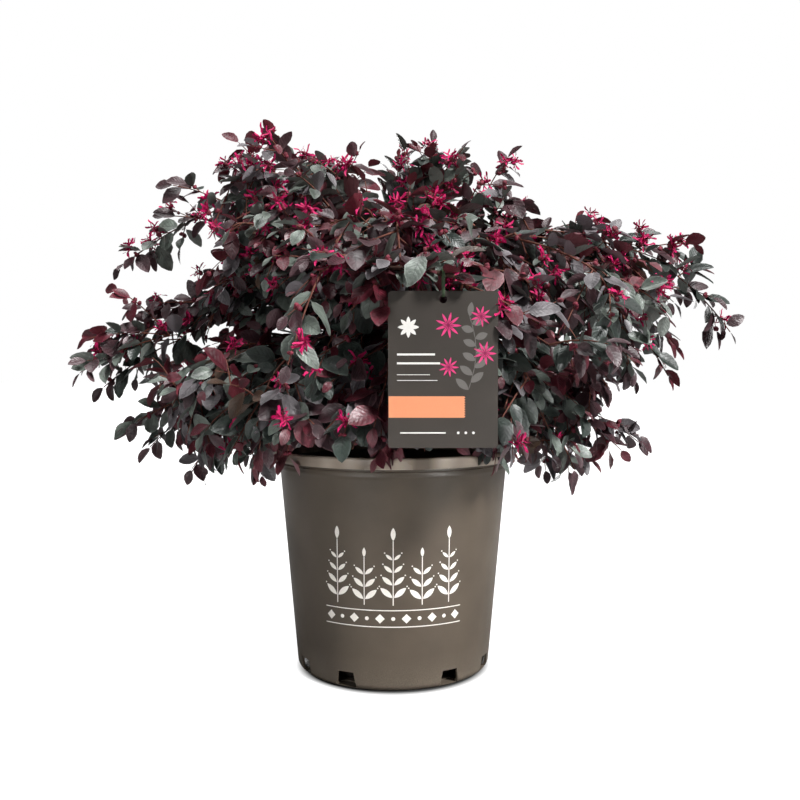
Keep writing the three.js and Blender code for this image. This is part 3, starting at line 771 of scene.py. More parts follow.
def make_soil():
    """The bed fills the pot to its floor, and only its top is lumpy."""
    edge = wall_radius(SOIL_TOP - 0.004) - WALL - 0.0003
    low, bend = FLOOR + 0.001, 0.032
    foot = WALL_FOOT_RADIUS - WALL - CORNER_RADIUS
    rings = 48
    profile = [(0, SOIL_TOP)] + [(edge * i / rings, SOIL_TOP) for i in range(1, rings + 1)]
    profile += [(wall_radius(bend) - WALL - 0.0004, bend), (foot - 0.012, low), (0, low)]
    mesh = spun(profile, 120)
    for vert in mesh.vertices:
        if vert.co.z > SOIL_TOP - 1e-5:
            vert.co.z = soil_height(vert.co.x, vert.co.y)
    new_piece("soil_bed", mesh, soil_material(), "soil", "soil")


def chip_shape(seed):
    """A splintered bark chip: a flat bar with its corners pushed about."""
    bm = bmesh.new()
    bmesh.ops.create_cube(bm, size=1)
    along = [e for e in bm.edges if abs(e.verts[0].co.x - e.verts[1].co.x) > 0.5]
    bmesh.ops.subdivide_edges(bm, edges=along, cuts=1)
    shift = random.Random(seed)
    for vert in bm.verts:
        vert.co += Vector([0.22 * (shift.random() - 0.5) for _ in range(3)])
        vert.co = Vector((vert.co.x, vert.co.y * 0.5, vert.co.z * 0.28))
    return shape_of(bm)


CHIPS = {"seed": 17, "kinds": 5, "count": 900, "sizes": (0.004, 0.011), "off_wall": 0.007}


def make_chips():
    """Bark chips lie over the soil at all angles, but not right against the trunk."""
    deal = random.Random(CHIPS["seed"])
    shapes = [chip_shape(seed) for seed in range(CHIPS["kinds"])]
    placed = []
    edge = wall_radius(SOIL_TOP) - WALL - CHIPS["off_wall"]
    for _ in range(CHIPS["count"]):
        radius = edge * math.sqrt(deal.uniform(0.03, 1))
        spot = polar(radius, deal.uniform(0, 360), 0)
        spot.z = soil_height(spot.x, spot.y) + 0.0004
        along = polar(1, deal.uniform(0, 360), deal.uniform(-0.3, 0.3))
        facing = Vector((deal.uniform(-0.5, 0.5), deal.uniform(-0.5, 0.5), 1))
        placed.append(placing(spot, along, facing, deal.uniform(*CHIPS["sizes"])))
    mesh = dealt(shapes, placed)
    mesh.shade_flat()
    new_piece("soil_chips", mesh, bark_material("chip_bark", "#4a382b", "#1c1512", 0.004), "soil")


# Trunk and boughs


def trunk_radius(height):
    above = height - TRUNK_FOOT
    taper = TRUNK["top_radius"] - TRUNK["foot_radius"]
    flare = (TRUNK["flare_radius"] - TRUNK["foot_radius"]) * math.exp(-2.2 * above / TRUNK["flare_height"])
    return TRUNK["foot_radius"] + taper * above / (TRUNK_TOP - TRUNK_FOOT) + flare


def trunk_centre(height):
    share = min(max((height - TRUNK_FOOT) / (TRUNK_TOP - TRUNK_FOOT), 0), 1)
    return polar(TRUNK_LEAN["by"] * share, TRUNK_LEAN["azimuth"], height)


def on_trunk(azimuth, height):
    """A point just inside the trunk's bark, where a bough leaves it."""
    inside = 0.0015
    return trunk_centre(height) + polar(trunk_radius(height) - inside, azimuth, 0)


def bark_relief(place, coarse, depth):
    """How far long ridges with cracks between them stand out at a place."""
    stretched = Vector((place.x, place.y, place.z * 0.3)) / coarse
    ridges = 1 - 2 * abs(noise.noise(stretched))
    flakes = noise.noise(place / (0.35 * coarse))
    return depth * (ridges + 0.4 * flakes)


def add_limb(bm, points, radii, sides, coarse, depth):
    """A barked tube: a circle is extruded once for each point, and each ring is then put in place."""
    ring = bmesh.ops.create_circle(bm, cap_ends=False, segments=sides, radius=1)["verts"]
    edges = list({edge for vert in ring for edge in vert.link_edges})
    rings, ends = [ring], [edges]
    for _ in points[1:]:
        made = bmesh.ops.extrude_edge_only(bm, edges=edges)["geom"]
        ring = [g for g in made if isinstance(g, bmesh.types.BMVert)]
        fresh = set(ring)
        edges = [g for g in made if isinstance(g, bmesh.types.BMEdge) and fresh.issuperset(g.verts)]
        rings.append(ring)
        ends.append(edges)
    for point, radius, ring, (_, side, other) in zip(points, radii, rings, frames_along(points)):
        for vert in ring:
            out = (side * vert.co.x + other * vert.co.y).normalized()
            place = Vector(point) + out * radius
            vert.co = place + out * bark_relief(place, coarse, depth)
    for edges in (ends[0], ends[-1]):
        bmesh.ops.edgeloop_fill(bm, edges=edges)


def make_trunk():
    """The trunk rises from the soil with its flare, and closes in a low dome under the leader."""
    rings, sunk = 70, 0.006
    heights = [TRUNK_FOOT - sunk + (TRUNK_TOP - TRUNK_FOOT + sunk) * i / rings for i in range(rings + 1)]
    points = [trunk_centre(height) for height in heights]
    radii = [trunk_radius(max(height, TRUNK_FOOT)) for height in heights]
    for turn in (20, 40, 60, 78):
        turn = math.radians(turn)
        points.append(trunk_centre(TRUNK_TOP) + UP * 0.004 * math.sin(turn))
        radii.append(TRUNK["top_radius"] * math.cos(turn))
    bm = bmesh.new()
    add_limb(bm, np.array(points), radii, 72, 0.006, 0.0006)
    bark = bark_material("trunk_bark", "#8a6a55", "#3a2419", 0.003)
    new_piece("trunk_bark", mesh_from(bm), bark, "bark", "trunk")


def make_boughs(shoots):
    """Each bough swells where it leaves the trunk and carries on to where its stem begins."""
    bm = bmesh.new()
    shoots = [shoot for shoot in shoots if shoot.split]
    for shoot in shoots:
        length = np.linalg.norm(np.diff(shoot.bough, axis=0), axis=1).sum()
        count = max(12, int(length / 0.004))
        points = evenly(shoot.curve, 0, shoot.split, count)
        walked = np.linspace(0, length, count)
        radii = np.linspace(shoot.foot_radius, STEM_RADII[0], count)
        radii = radii + 0.0016 * np.exp(-walked / 0.006) + 0.00025 * np.sin(walked / 0.0045)
        add_limb(bm, points, radii, 14, 0.004, 0.00022)
    bark = bark_material("bough_bark", "#573629", "#2b1812", 0.002)
    nodes = [f"bough_{shoot.name}" for shoot in shoots]
    new_piece("bough_bark", mesh_from(bm), bark, "bark", *nodes)


# Shoots: the curves that boughs and stems follow

Shoot = namedtuple("Shoot", "name curve split foot_radius bough stem twigging seed")


def arched_curve(tier, azimuth, reach, tip_height, apex, order):
    """From the trunk over the apex to the tip, with a little sway."""
    height = TIERS[tier]["attach"] + (order % 3) * WHORL_STAGGER
    control = (apex - (height + tip_height) / 8) / 0.75 * MM
    sway = 7 * math.sin(2.4 * order)
    return bezier(
        on_trunk(azimuth, height * MM),
        polar(reach * MM * TIERS[tier]["outward"], azimuth + sway, control),
        polar(reach * MM * TIERS[tier]["over"], azimuth - sway, control),
        polar(reach * MM, azimuth, tip_height * MM),
    )


def leader_curve():
    foot = trunk_centre(TRUNK_TOP)
    tip = polar(LEADER["lean"] * MM, LEADER["azimuth"], LEADER["tip"] * MM)
    bend = foot.lerp(tip, 0.5)
    bend.x = foot.x
    return bezier(foot, bend, tip)


def lay_out_shoots():
    shoots = []

    def add(name, curve, split, foot_radius, twigging):
        bough = evenly(curve, 0, split, 12) if split else np.empty((0, 3))
        stem = evenly(curve, split, 1, 11)
        seed = 101 + 37 * len(shoots)
        shoots.append(Shoot(name, curve, split, foot_radius * MM, bough, stem, TWIGGING[twigging], seed))

    for tier, rows in SHOOTS.items():
        for order, row in enumerate(rows):
            curve = arched_curve(tier, *row, order)
            add(f"{tier}_{order + 1}", curve, TIERS[tier]["split"], TIERS[tier]["foot_radius"], tier)
    foot = on_trunk(TAG_SHOOT["azimuth"], TAG_SHOOT["attach"] * MM)
    over = [Vector(place) * MM for place in TAG_SHOOT_OVER]
    add("tag_side", bezier(foot, *over), TAG_SHOOT["split"], TIERS["shoulder"]["foot_radius"], "shoulder")
    add("leader", leader_curve(), 0, 0, "leader")
    return shoots


# The space that a mass keeps to, as in the part's source, with neighbours a little interlaced


def runs_of(points):
    """The straight runs of a path."""
    return np.stack([points[:-1], points[1:]], axis=1)


class Spaces:
    """Which places a shoot's foliage may fill: in the mound, nearest its own stem, clear of the rest."""

    def __init__(self, shoots):
        self.stem_runs = np.concatenate([runs_of(shoot.stem) for shoot in shoots])
        self.stem_count = len(shoots)
        self.bough_runs = np.concatenate([runs_of(shoot.bough) for shoot in shoots if shoot.split])
        self.tag, self.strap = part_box("tag"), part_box("tag_strap")

    @staticmethod
    def distances(points, runs):
        """From each point to each straight run."""
        starts, along = runs[:, 0], runs[:, 1] - runs[:, 0]
        offset = points[:, None] - starts
        share = np.clip((offset * along).sum(-1) / (along ** 2).sum(-1), 0, 1)
        return np.linalg.norm(offset - share[..., None] * along, axis=-1)

    def to_stems(self, points):
        return self.distances(points, self.stem_runs).reshape(len(points), self.stem_count, -1).min(-1)

    def clear(self, points):
        """True for each point in the mound that is off the pot's rim, the tag, the trunk and the boughs."""
        points = np.atleast_2d(points)
        x, y, z = points.T
        margin, pot_margin = 0.003, 0.002
        clear = self.distances(points, self.bough_runs).min(-1) > margin + LIMB_CLEARANCE
        clear &= (np.hypot(x, y) > TRUNK["foot_radius"] + margin) | (z > TRUNK_TOP)
        clear &= (z >= POT_HEIGHT + pot_margin) | (np.hypot(x, y) >= RIM_RADIUS + pot_margin)
        clear &= ~((y < 0) & (x > RIM_VIEW["low_x"]) & (x < RIM_VIEW["high_x"]) & (z < RIM_VIEW["z"]))
        for (low, high), more in ((self.tag, margin), (self.strap, 0)):
            beside = (x > low.x - margin) & (x < high.x + margin)
            clear &= ~(beside & (z > low.z - more) & (z < high.z + more) & (y < high.y + more))
        return clear & (crown_share(points) < 1)

    def fit(self, points, owner):
        """True for each point that the owner's foliage may reach."""
        points = np.atleast_2d(points)
        gaps = self.to_stems(points)
        return (gaps[:, owner] <= gaps.min(-1) + SPACE_OVERLAP) & self.clear(points)


def share_up(z):
    """From -1 at the mound's underside over 0 at its widest to 1 at its top."""
    return (z - CROWN["z"]) / np.where(z > CROWN["z"], CROWN["rise"], CROWN["fall"])


def crown_share(points):
    """From 0 at the mound's middle to 1 on its surface."""
    x, y, z = np.atleast_2d(points).T / MM
    flat = np.hypot((x - CROWN["x"]) / CROWN["across"], (y - CROWN["y"]) / CROWN["deep"])
    return flat ** CROWN_POWER + np.abs(share_up(z)) ** CROWN_POWER


def beyond_outline(points):
    """How far a point stands out of the dense crown, as a share of the mound's size: negative inside."""
    x, _, z = np.atleast_2d(points).T / MM
    angle = np.degrees(np.arctan2(share_up(z), (x - CROWN["x"]) / CROWN["across"]))
    angles, limits = zip(*OUTLINE)
    return crown_share(points) ** (1 / CROWN_POWER) - np.interp(angle, angles, limits, period=360)


def drawn_in(points):
    """A stem's points, with those that stand out of the dense crown brought back to it."""
    middle = np.array([CROWN["x"], CROWN["y"], CROWN["z"]]) * MM
    share = crown_share(points) ** (1 / CROWN_POWER)
    excess = np.maximum(beyond_outline(points) - SPARSE["stem"], 0)
    return middle + (points - middle) * (1 - excess / share)[:, None]


def raised(height):
    """From 0 for the skirt of the crown to 1 for its top."""
    return min(max((height - RAISED["from"]) / RAISED["over"], 0), 1)


# Growth

Axis = namedtuple("Axis", "points radii rank")
Leaf = namedtuple("Leaf", "matrix tint")


def at(axis, share):
    """The place and heading at a share of an axis."""
    spot = share * (len(axis.points) - 1)
    i = min(int(spot), len(axis.points) - 2)
    first, second = Vector(axis.points[i]), Vector(axis.points[i + 1])
    return first.lerp(second, spot - i), (second - first).normalized()


def length_of(axis):
    return np.linalg.norm(np.diff(axis.points, axis=0), axis=1).sum()


def sideways(heading, side, roll):
    """Sideways from a branch, level with the ground, rolled about the branch by some degrees."""
    level = heading.cross(UP)
    if level.length < 0.01:
        level = Vector((1, 0, 0))
    level = level.normalized() * side
    level.rotate(Matrix.Rotation(math.radians(roll), 3, heading))
    return level


def side_of(k):
    """Every other one stands to the other side."""
    return -1 if k % 2 else 1


def any_way(deal, size):
    return Vector([deal.uniform(-size, size) for _ in range(3)])


def along_curve(curve, radii, count, rank):
    return Axis(evenly(curve, 0, 1, count), np.linspace(*radii, count), rank)


def branch(parent, share, side, roll, lean, length, droop, radii, rank):
    """A branch that leans away from its parent and bends down as it goes."""
    foot, heading = at(parent, share)
    out = sideways(heading, side, roll)
    along = (heading * math.cos(math.radians(lean)) + out * math.sin(math.radians(lean))).normalized()
    middle, end = foot + along * length * 0.5, foot + along * length
    middle.z -= droop * length * 0.12
    end.z -= droop * length * 0.5
    return along_curve(bezier(foot, middle, end), radii, 5 if rank == 1 else 4, rank)


def grow_twig(parent, share, k, twigging, roll, fits, deal):
    """A twig from the parent, the longest that fits, with its twiglets."""
    for size in TWIG_SIZES:
        lean = twigging["lean"] + deal.uniform(0, 24)
        length = twigging["reach"] * MM * size * (1 - 0.25 * share)
        droop = twigging["droop"] * deal.uniform(0.6, 1)
        rolled = roll + deal.uniform(-25, 25)
        twig = branch(parent, share, side_of(k), rolled, lean, length, droop, TWIG_RADII, 1)
        if fits(twig.points[1:]).all() and stays(twig, deal):
            return [twig, *grow_twiglets(twig, fits, deal)]
    return []


def stays(axis, deal):
    """Always true inside the dense crown, and now and then in the sparse shell round it."""
    out = beyond_outline(axis.points[-1])[0]
    return out < 0 or (out < SPARSE["width"] and deal.random() < SPARSE["share"])


def grow_twiglets(twig, fits, deal):
    """Twiglets hang from the skirt's twigs, and stand either way on the top's."""
    found = []
    for k in range(TWIGLETS["count"]):
        share = TWIGLETS["first"] + (TWIGLETS["last"] - TWIGLETS["first"]) * k / (TWIGLETS["count"] - 1)
        length = TWIGLETS["length"] * (1 - 0.4 * share) * deal.uniform(0.7, 1.2)
        lean = TWIGLETS["lean"] + deal.uniform(-14, 18)
        roll = deal.uniform(-75, 75)
        droop = deal.uniform(0.2, 1.2) - 1.1 * raised(twig.points[-1][2]) * deal.random()
        twiglet = branch(twig, share, side_of(k), roll, lean, length, droop, TWIGLET_RADII, 2)
        if fits(twiglet.points[2:]).all() and stays(twiglet, deal):
            found.append(twiglet)
    return found


def grow_tip(stem, fits, deal):
    """A few twigs carry the stem's heading on past its end."""
    found = []
    for k in range(TIP_TWIGS["count"]):
        lean = deal.uniform(4, TIP_TWIGS["lean"])
        length = TIP_TWIGS["length"] * deal.uniform(0.6, 1)
        roll = 120 * k + deal.uniform(-30, 30)
        twig = branch(stem, 1, 1, roll, lean, length, deal.uniform(-0.2, 0.6), TWIG_RADII, 1)
        if fits(twig.points[1:]).all() and stays(twig, deal):
            found += [twig, *grow_twiglets(twig, fits, deal)[:2]]
    return found


def grow_spurs(shoot, spaces, deal):
    """Short leafy twigs along the bough's outer part."""
    if not shoot.split:
        return []
    bough = Axis(shoot.bough, None, 0)
    count = int(length_of(bough) * (1 - SPURS["first"]) / SPURS["spacing"])
    found = []
    for k in range(count):
        share = SPURS["first"] + (1 - SPURS["first"]) * k / count
        length = SPURS["length"] * deal.uniform(0.6, 1.2)
        lean = deal.uniform(40, 75)
        roll = deal.uniform(-90, 90)
        spur = branch(bough, share, side_of(k), roll, lean, length, SPURS["droop"], TWIG_RADII, 1)
        if spaces.clear(spur.points[1:]).all():
            found.append(spur)
    return found


def grow_axes(shoot, fits, deal):
    """The stem, the twigs along it and on its end, and the twiglets on those."""
    twigging = shoot.twigging
    end = 1
    while end > shoot.split + 0.1 and beyond_outline(shoot.curve(end))[0] > SPARSE["width"] / 2:
        end -= 0.02
    stem = Axis(drawn_in(evenly(shoot.curve, shoot.split, end, 16)), np.linspace(*STEM_RADII, 16), 0)
    axes = [stem]
    rolls = TWIG_ROLLS["leader" if shoot.name == "leader" else "other"]
    for k in range(twigging["twigs"]):
        share = twigging["first"] + (0.98 - twigging["first"]) * k / twigging["twigs"]
        axes += grow_twig(stem, share, k, twigging, rolls[k % len(rolls)], fits, deal)
    return axes + grow_tip(stem, fits, deal)


def leaf_place(axis, share, side, size, deal, fall, turned=Vector()):
    """A leaf leans out to its side. High on the crown it lies more level, and low on it it faces out."""
    foot, heading = at(axis, share)
    lean = math.radians(10 if side == 0 else deal.uniform(35, 80))
    out = sideways(heading, side or 1, deal.uniform(-70, 70))
    along = heading * math.cos(lean) + out * math.sin(lean)
    along.z -= fall + deal.uniform(-0.15, 0.5)
    outward = Vector((foot.x, foot.y, 0)).normalized()
    top = raised(foot.z)
    facing = UP * (0.6 + 0.5 * top) + outward * deal.uniform(0.2, 1.1) * (1.1 - 0.6 * top)
    return placing(foot, along, facing + turned + any_way(deal, 0.65), size)


def spray_tint(deal, height):
    # Partly painted light: paler tints go more often to the lit top, and the darkest ones low in the crown.
    low, high, top = zip(*[tint[2:] for tint in LEAF_TINTS.values()])
    upper = top if height > TOP else high
    weights = upper if deal.random() < raised(height) else low
    return deal.choices(list(LEAF_TINTS), weights=weights)[0]


def ranks(axis, spacing, first):
    """The share and side of each leaf of an axis: in two ranks, and one straight on at its tip."""
    count = max(2, round(length_of(axis) / spacing))
    for i in range(count + 1):
        yield first + (1 - first) * i / count, 0 if i == count else side_of(i)


def grow_leaves(axes, test, deal, fall):
    """Leaves along each axis get smaller towards its tip, where the youngest are red."""
    leaves = []
    for axis in axes:
        tip = axis.points[-1][2]
        tint = spray_tint(deal, tip)
        reddening = 0.25 + 0.2 * raised(tip)
        for share, side in ranks(axis, LEAF_SPACING, 0.1):
            size = LEAF_LENGTH * deal.uniform(*LEAF_SIZES) * (1 - 0.35 * share ** 3)
            young = share > 0.75 and deal.random() < reddening
            matrix = leaf_place(axis, share, side, size * (0.75 if young else 1), deal, fall)
            leaves.append(Leaf(matrix, "burgundy" if young else tint))
    if not leaves:
        return []
    middles = middles_of(leaves)
    tips = np.array([leaf.matrix @ Vector((1, 0, 0)) for leaf in leaves])
    kept = test(middles) & test(tips) & (beyond_outline(middles) < SPARSE["width"])
    return [leaf for leaf, keep in zip(leaves, kept) if keep]


def middles_of(leaves):
    return np.array([leaf.matrix @ Vector((0.5, 0, 0)) for leaf in leaves])


def nearest(limbs, place):
    return Vector(limbs[np.linalg.norm(limbs - place, axis=1).argmin()])


def arched_twig(limbs, start, end, lift, count):
    """A twig that arches to an end from the limb nearest to a start."""
    foot = nearest(limbs, start)
    bend = foot.lerp(end, 0.5) + UP * lift * (end - foot).length
    return along_curve(bezier(foot, bend, end), TWIG_RADII, count, 1)


def grow_strays(axes, deal):
    """Leafy sprays arch out of the crown, and their tips are plum or burgundy."""
    limbs = np.concatenate([axis.points for axis in axes])
    found, leaves = [], []
    for x, z, length, climb, *placed in STRAYS + DEEP_STRAYS:
        depth = placed[0] if placed else deal.uniform(-STRAY["depth"], STRAY["depth"])
        end = Vector((x, depth, z)) * MM
        heart = Vector((STRAY_HEART[0], depth, STRAY_HEART[1])) * MM
        inward = ((heart - end).normalized() + UP * climb).normalized() * MM
        start = end + inward * length
        end += inward * STRAY["last_leaf"]
        stem = arched_twig(limbs, start, end, STRAY["lift"], 9)
        sprigs = [stem]
        twiglets = round(length / STRAY["per_twiglet"])
        for k in range(twiglets):
            lean, reach = deal.uniform(25, 55), deal.uniform(0.012, 0.024)
            roll, droop = deal.uniform(-70, 70), deal.uniform(0, 0.8)
            share = 0.3 + 0.6 * k / twiglets
            sprigs.append(branch(stem, share, side_of(k), roll, lean, reach, droop, TWIGLET_RADII, 2))
        found += sprigs
        inner = placed[1] if placed else deal.choice(("deep_green", "slate", "plum", "grey_green"))
        outer = deal.choice(("plum", "burgundy"))
        for sprig in sprigs:
            for share, side in ranks(sprig, STRAY["spacing"], 0.2):
                size = LEAF_LENGTH * deal.uniform(0.65, 1.05) * (1 - 0.3 * share ** 3)
                tint = outer if share + deal.uniform(-0.25, 0.25) > 0.65 else inner
                turned = Vector((0, -deal.uniform(-0.3, 1.8), 0))
                leaves.append(Leaf(leaf_place(sprig, share, side, size, deal, 0.15, turned), tint))
    return found, leaves


def hang_sprays(axes, deal):
    """A few short sprays hang over the pot's rim from the nearest limb."""
    limbs = np.concatenate([axis.points for axis in axes])
    found, leaves = [], []
    for tint, *place in RIM_SPRAYS:
        end = Vector(place)
        start = nearest(limbs, end + UP * 0.03)
        bend = Vector((end.x, end.y, start.z + 0.006))
        twig = along_curve(bezier(start, bend, end), TWIG_RADII, 6, 1)
        found.append(twig)
        for k, share in enumerate((0.45, 0.6, 0.72, 0.84, 0.93, 1.0)):
            size = LEAF_LENGTH * deal.uniform(0.55, 0.8)
            matrix = leaf_place(twig, share, side_of(k), size, deal, 0.3)
            leaves.append(Leaf(matrix, tint if k % 3 else "burgundy"))
    return found, leaves


def fill_holes(axes, leaves, spaces, deal):
    """Where the mound still has a hole, a twig is grown to it from the nearest limb, with its leaves."""
    middle = Vector((CROWN["x"], CROWN["y"], CROWN["z"])) * MM
    limbs = np.concatenate([axis.points for axis in axes if axis.rank < 2] + [spaces.bough_runs[:, 1]])
    centres = middles_of(leaves)
    found, more = [], []
    for _ in range(FILL["tries"]):
        sides = ("across", "deep", "rise")
        spot = middle + Vector([deal.uniform(-1, 1) * CROWN[side] * MM for side in sides])
        if beyond_outline(spot)[0] > -FILL["inside"] or not spaces.clear(spot)[0]:
            continue
        if np.linalg.norm(centres - spot, axis=1).min() < FILL["hole"]:
            continue
        twig = arched_twig(limbs, spot, spot, FILL["lift"], 5)
        reach = (spot - Vector(twig.points[0])).length
        if not FILL["shortest"] <= reach <= FILL["reach"] or not spaces.clear(twig.points[2:]).all():
            continue
        grown = grow_leaves([twig], spaces.clear, deal, 0.1)
        found.append(twig)
        more += grown
        if grown:
            centres = np.concatenate([centres, middles_of(grown)])
        limbs = np.concatenate([limbs, twig.points[2:]])
    return found, more


def blade_shape(columns, rows, place):
    """A grid along +X, put in place by how far along and aside each corner is. V runs from foot to tip."""
    bm = bmesh.new()
    layer = bm.loops.layers.uv.verify()
    uvs = {}
    laid(bm, columns, rows, lambda x, y: (x, y, 0))
    for vert in bm.verts:
        aside = vert.co.y
        vert.co = place((vert.co.x + 1) / 2, aside)
        uvs[vert] = (aside * 0.5 + 0.5, vert.co.x)
    for face in bm.faces:
        for loop in face.loops:
            loop[layer].uv = uvs[loop.vert]
    bmesh.ops.remove_doubles(bm, verts=bm.verts, dist=1e-5)
    return shape_of(bm)


def leaf_shape(fold, curl, ripple, skew):
    """A broad short-pointed leaf from the foot of its stalk, a few dozen faces in all."""
    columns = 7

    def place(share, aside):
        column = round(share * columns)
        blade = max(column - 1, 0) / (columns - 1)
        along = 0 if column == 0 else PETIOLE + (1 - PETIOLE) * (0.5 - 0.5 * math.cos(math.pi * blade))
        spread = max(0, (along - PETIOLE) / (1 - PETIOLE))
        half = LEAF_WIDTH / 2 * math.sin(math.pi * spread ** 0.92) ** 0.66
        half = 0 if column == columns else max(half, 0.012)
        rise = abs(aside) * half * math.sin(fold) + ripple * math.sin(7 * along) * aside * half
        y = aside * half * math.cos(fold) + skew * along * along
        return along, y, rise - curl * along * along

    return blade_shape(columns, 4, place)


# Flowers


def petal_shape(curl, twist):
    """A narrow strap that curls and twists towards its blunt tip."""
    def place(along, aside):
        aside *= PETAL_WIDTH / 2 * (0.5 + 0.7 * along) * (1 if along < 0.95 else 0.6)
        turn = twist * along
        y = aside * math.cos(turn) + 0.1 * math.sin(5 * along + curl)
        return along, y, aside * math.sin(turn) - curl * along * along + 0.05 * math.sin(8 * along)

    return blade_shape(5, 2, place)


def bud_shape():
    bm = bmesh.new()
    bmesh.ops.create_icosphere(bm, subdivisions=1, radius=0.5)
    bmesh.ops.scale(bm, vec=(1.35, 1, 1), verts=bm.verts)
    bmesh.ops.translate(bm, vec=(0.5, 0, 0), verts=bm.verts)
    return shape_of(bm)


def cluster(foot, heading, deal):
    """Petals and buds of one head: a few flowers of four straps each, round their husks."""
    petals, buds = [], []
    for _ in range(deal.choice((4, 4, 5, 5))):
        axis = (heading + any_way(deal, 0.9)).normalized()
        centre = foot + axis * deal.uniform(0.002, 0.006)
        buds.append(placing(foot, axis, UP + heading * 0.1, deal.uniform(0.003, 0.0045)))
        across = axis.orthogonal().normalized()
        start = deal.uniform(0, 90)
        for k in range(4):
            ray = across.copy()
            ray.rotate(Matrix.Rotation(math.radians(start + 90 * k + deal.uniform(-20, 20)), 3, axis))
            along = axis * deal.uniform(0.3, 1.2) + ray
            petals.append(placing(centre, along, axis + ray * 0.2, deal.uniform(*PETAL_LENGTHS)))
    return petals, buds


def grow_flowers(axes, spaces, deal):
    """Heads of flowers stand out of the crown along its outer twigs, and buds along all of them."""
    petals, buds = [], []
    for axis in axes:
        foot, heading = at(axis, deal.uniform(0.4, 1))
        outward = (Vector((foot.x, foot.y, 0)).normalized() + UP).normalized()
        top = raised(foot.z)
        chance = HEADS["low"] + (HEADS["high"] - HEADS["low"]) * top
        seat = foot + outward * HEADS["stalk"]
        open_round = spaces.clear([seat, seat - UP * 0.018]).all()
        if crown_share(foot)[0] > HEADS["share"] and deal.random() < chance and open_round:
            made = cluster(seat, (heading * 0.4 + outward).normalized(), deal)
            petals += made[0]
            buds += made[1]
        if deal.random() < 0.3 + 0.4 * top:
            foot, heading = at(axis, deal.uniform(0.3, 0.95))
            for _ in range(deal.choice((2, 3, 4))):
                out = sideways(heading, 1, deal.uniform(0, 360)) + heading * 0.5
                buds.append(placing(foot, out, UP, deal.uniform(0.003, 0.0055)))
    return petals, buds


TUBE_SIDES = (6, 4, 3)


def make_foliage(shoots):
    """Twigs, leaves, petals and buds, which together stand in for every mass."""
    spaces = Spaces(shoots)
    leaves, axes = [], []
    for owner, shoot in enumerate(shoots):
        deal = random.Random(shoot.seed)
        fits = partial(spaces.fit, owner=owner)
        grown = grow_axes(shoot, fits, deal)
        leaves += grow_leaves(grown, fits, deal, shoot.twigging["fall"])
        spurs = grow_spurs(shoot, spaces, deal)
        axes += grown + spurs
        bough = [Axis(shoot.bough[len(shoot.bough) // 3:], None, 0)] if shoot.split else []
        leaves += grow_leaves(spurs + 2 * bough, spaces.clear, deal, 0.1)
        if shoot.name == "tag_side":
            leaves += grow_leaves(5 * bough, spaces.clear, deal, -0.35)
    deal = random.Random(FILL["seed"])
    added = [fill_holes(axes, leaves, spaces, deal), hang_sprays(axes, deal)]
    added.append(grow_strays(axes, random.Random(STRAY["seed"])))
    for more_axes, more_leaves in added:
        axes += more_axes
        leaves += more_leaves
    petals, buds = grow_flowers(axes, spaces, deal)
    masses = [f"mass_{shoot.name}" for shoot in shoots]

    def add(name, shapes, matrices, material):
        new_piece(name, dealt(shapes, matrices), material, "foliage", *masses)

    tubes = [tube(axis.points, axis.radii, TUBE_SIDES[axis.rank]) for axis in axes]
    bark = bark_material("twig_bark", "#86503d", "#4c231b", 0.0015)
    new_piece("stems_and_twigs", joined(tubes), bark, "foliage", *masses)
    blades = [leaf_shape(*form) for form in LEAF_FORMS]
    for tint in LEAF_TINTS:
        matrices = [leaf.matrix for leaf in leaves if leaf.tint == tint]
        add(f"leaves_{tint}", blades, matrices, leaf_material(tint))
    add("flower_petals", [petal_shape(*form) for form in PETAL_FORMS], petals, petal_material())
    add("flower_buds", [bud_shape()], buds, bud_material())


# Tag and strap

TAG = {"width": 0.087, "height": 0.124, "thickness": 0.0008, "corner": 0.0025, "x": 0.0395, "top": 0.368}
TAG_HOLE = {"radius": 0.0032, "drop": 0.0065}
TAG_BEND = 0.0012
PRINT_LIFT = 0.00012
# X from the tag's middle, height from its top and size of each printed bloom
TAG_BLOOMS = (
    (0.004, -0.027, 0.0105), (0.03, -0.02, 0.0085), (0.033, -0.049, 0.0095), (0.0045, -0.06, 0.008),
)


def bent_tag(bm, lift):
    """Flat places on the tag, X from its middle and Z from its top, become places on its bent front."""
    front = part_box("tag")[0].y
    for vert in bm.verts:
        bend = TAG_BEND * (vert.co.x / (TAG["width"] / 2)) ** 2
        vert.co = (vert.co.x + TAG["x"], front + bend + vert.co.y - lift, vert.co.z + TAG["top"])


def make_tag_card():
    """A card with round corners and a punched hole, bent back a little at its sides."""
    bm = bmesh.new()
    grid = bmesh.ops.create_grid(bm, x_segments=24, y_segments=30, size=0.5)["verts"]
    bmesh.ops.scale(bm, vec=(TAG["width"], TAG["height"], 1), verts=grid)
    for vert in grid:
        vert.co = (vert.co.x, 0, vert.co.y - TAG["height"] / 2)
    corners = [v for v in bm.verts if len(v.link_edges) == 2]
    rounding = {"offset": TAG["corner"], "segments": 6, "profile": 0.5, "material": -1}
    bmesh.ops.bevel(bm, geom=corners, affect="VERTICES", **rounding)
    pushed(bm, bm.faces[:], (0, TAG["thickness"], 0))
    punch = bmesh.new()
    radius = TAG_HOLE["radius"]
    bmesh.ops.create_cone(punch, cap_ends=True, segments=40, radius1=radius, radius2=radius, depth=0.01)
    bmesh.ops.rotate(punch, matrix=Matrix.Rotation(math.pi / 2, 3, "X"), verts=punch.verts)
    bmesh.ops.translate(punch, vec=(0, 0, -TAG_HOLE["drop"]), verts=punch.verts)
    mesh = cut_by(mesh_from(bm), mesh_from(punch))
    bm = bmesh.new()
    bm.from_mesh(mesh)
    bent_tag(bm, 0)
    card = card_material("tag_card", "#413b36", "#3b3631", 0.0006)
    new_piece("tag_card", mesh_from(bm, smooth_angle=40), card, "tag", "tag")


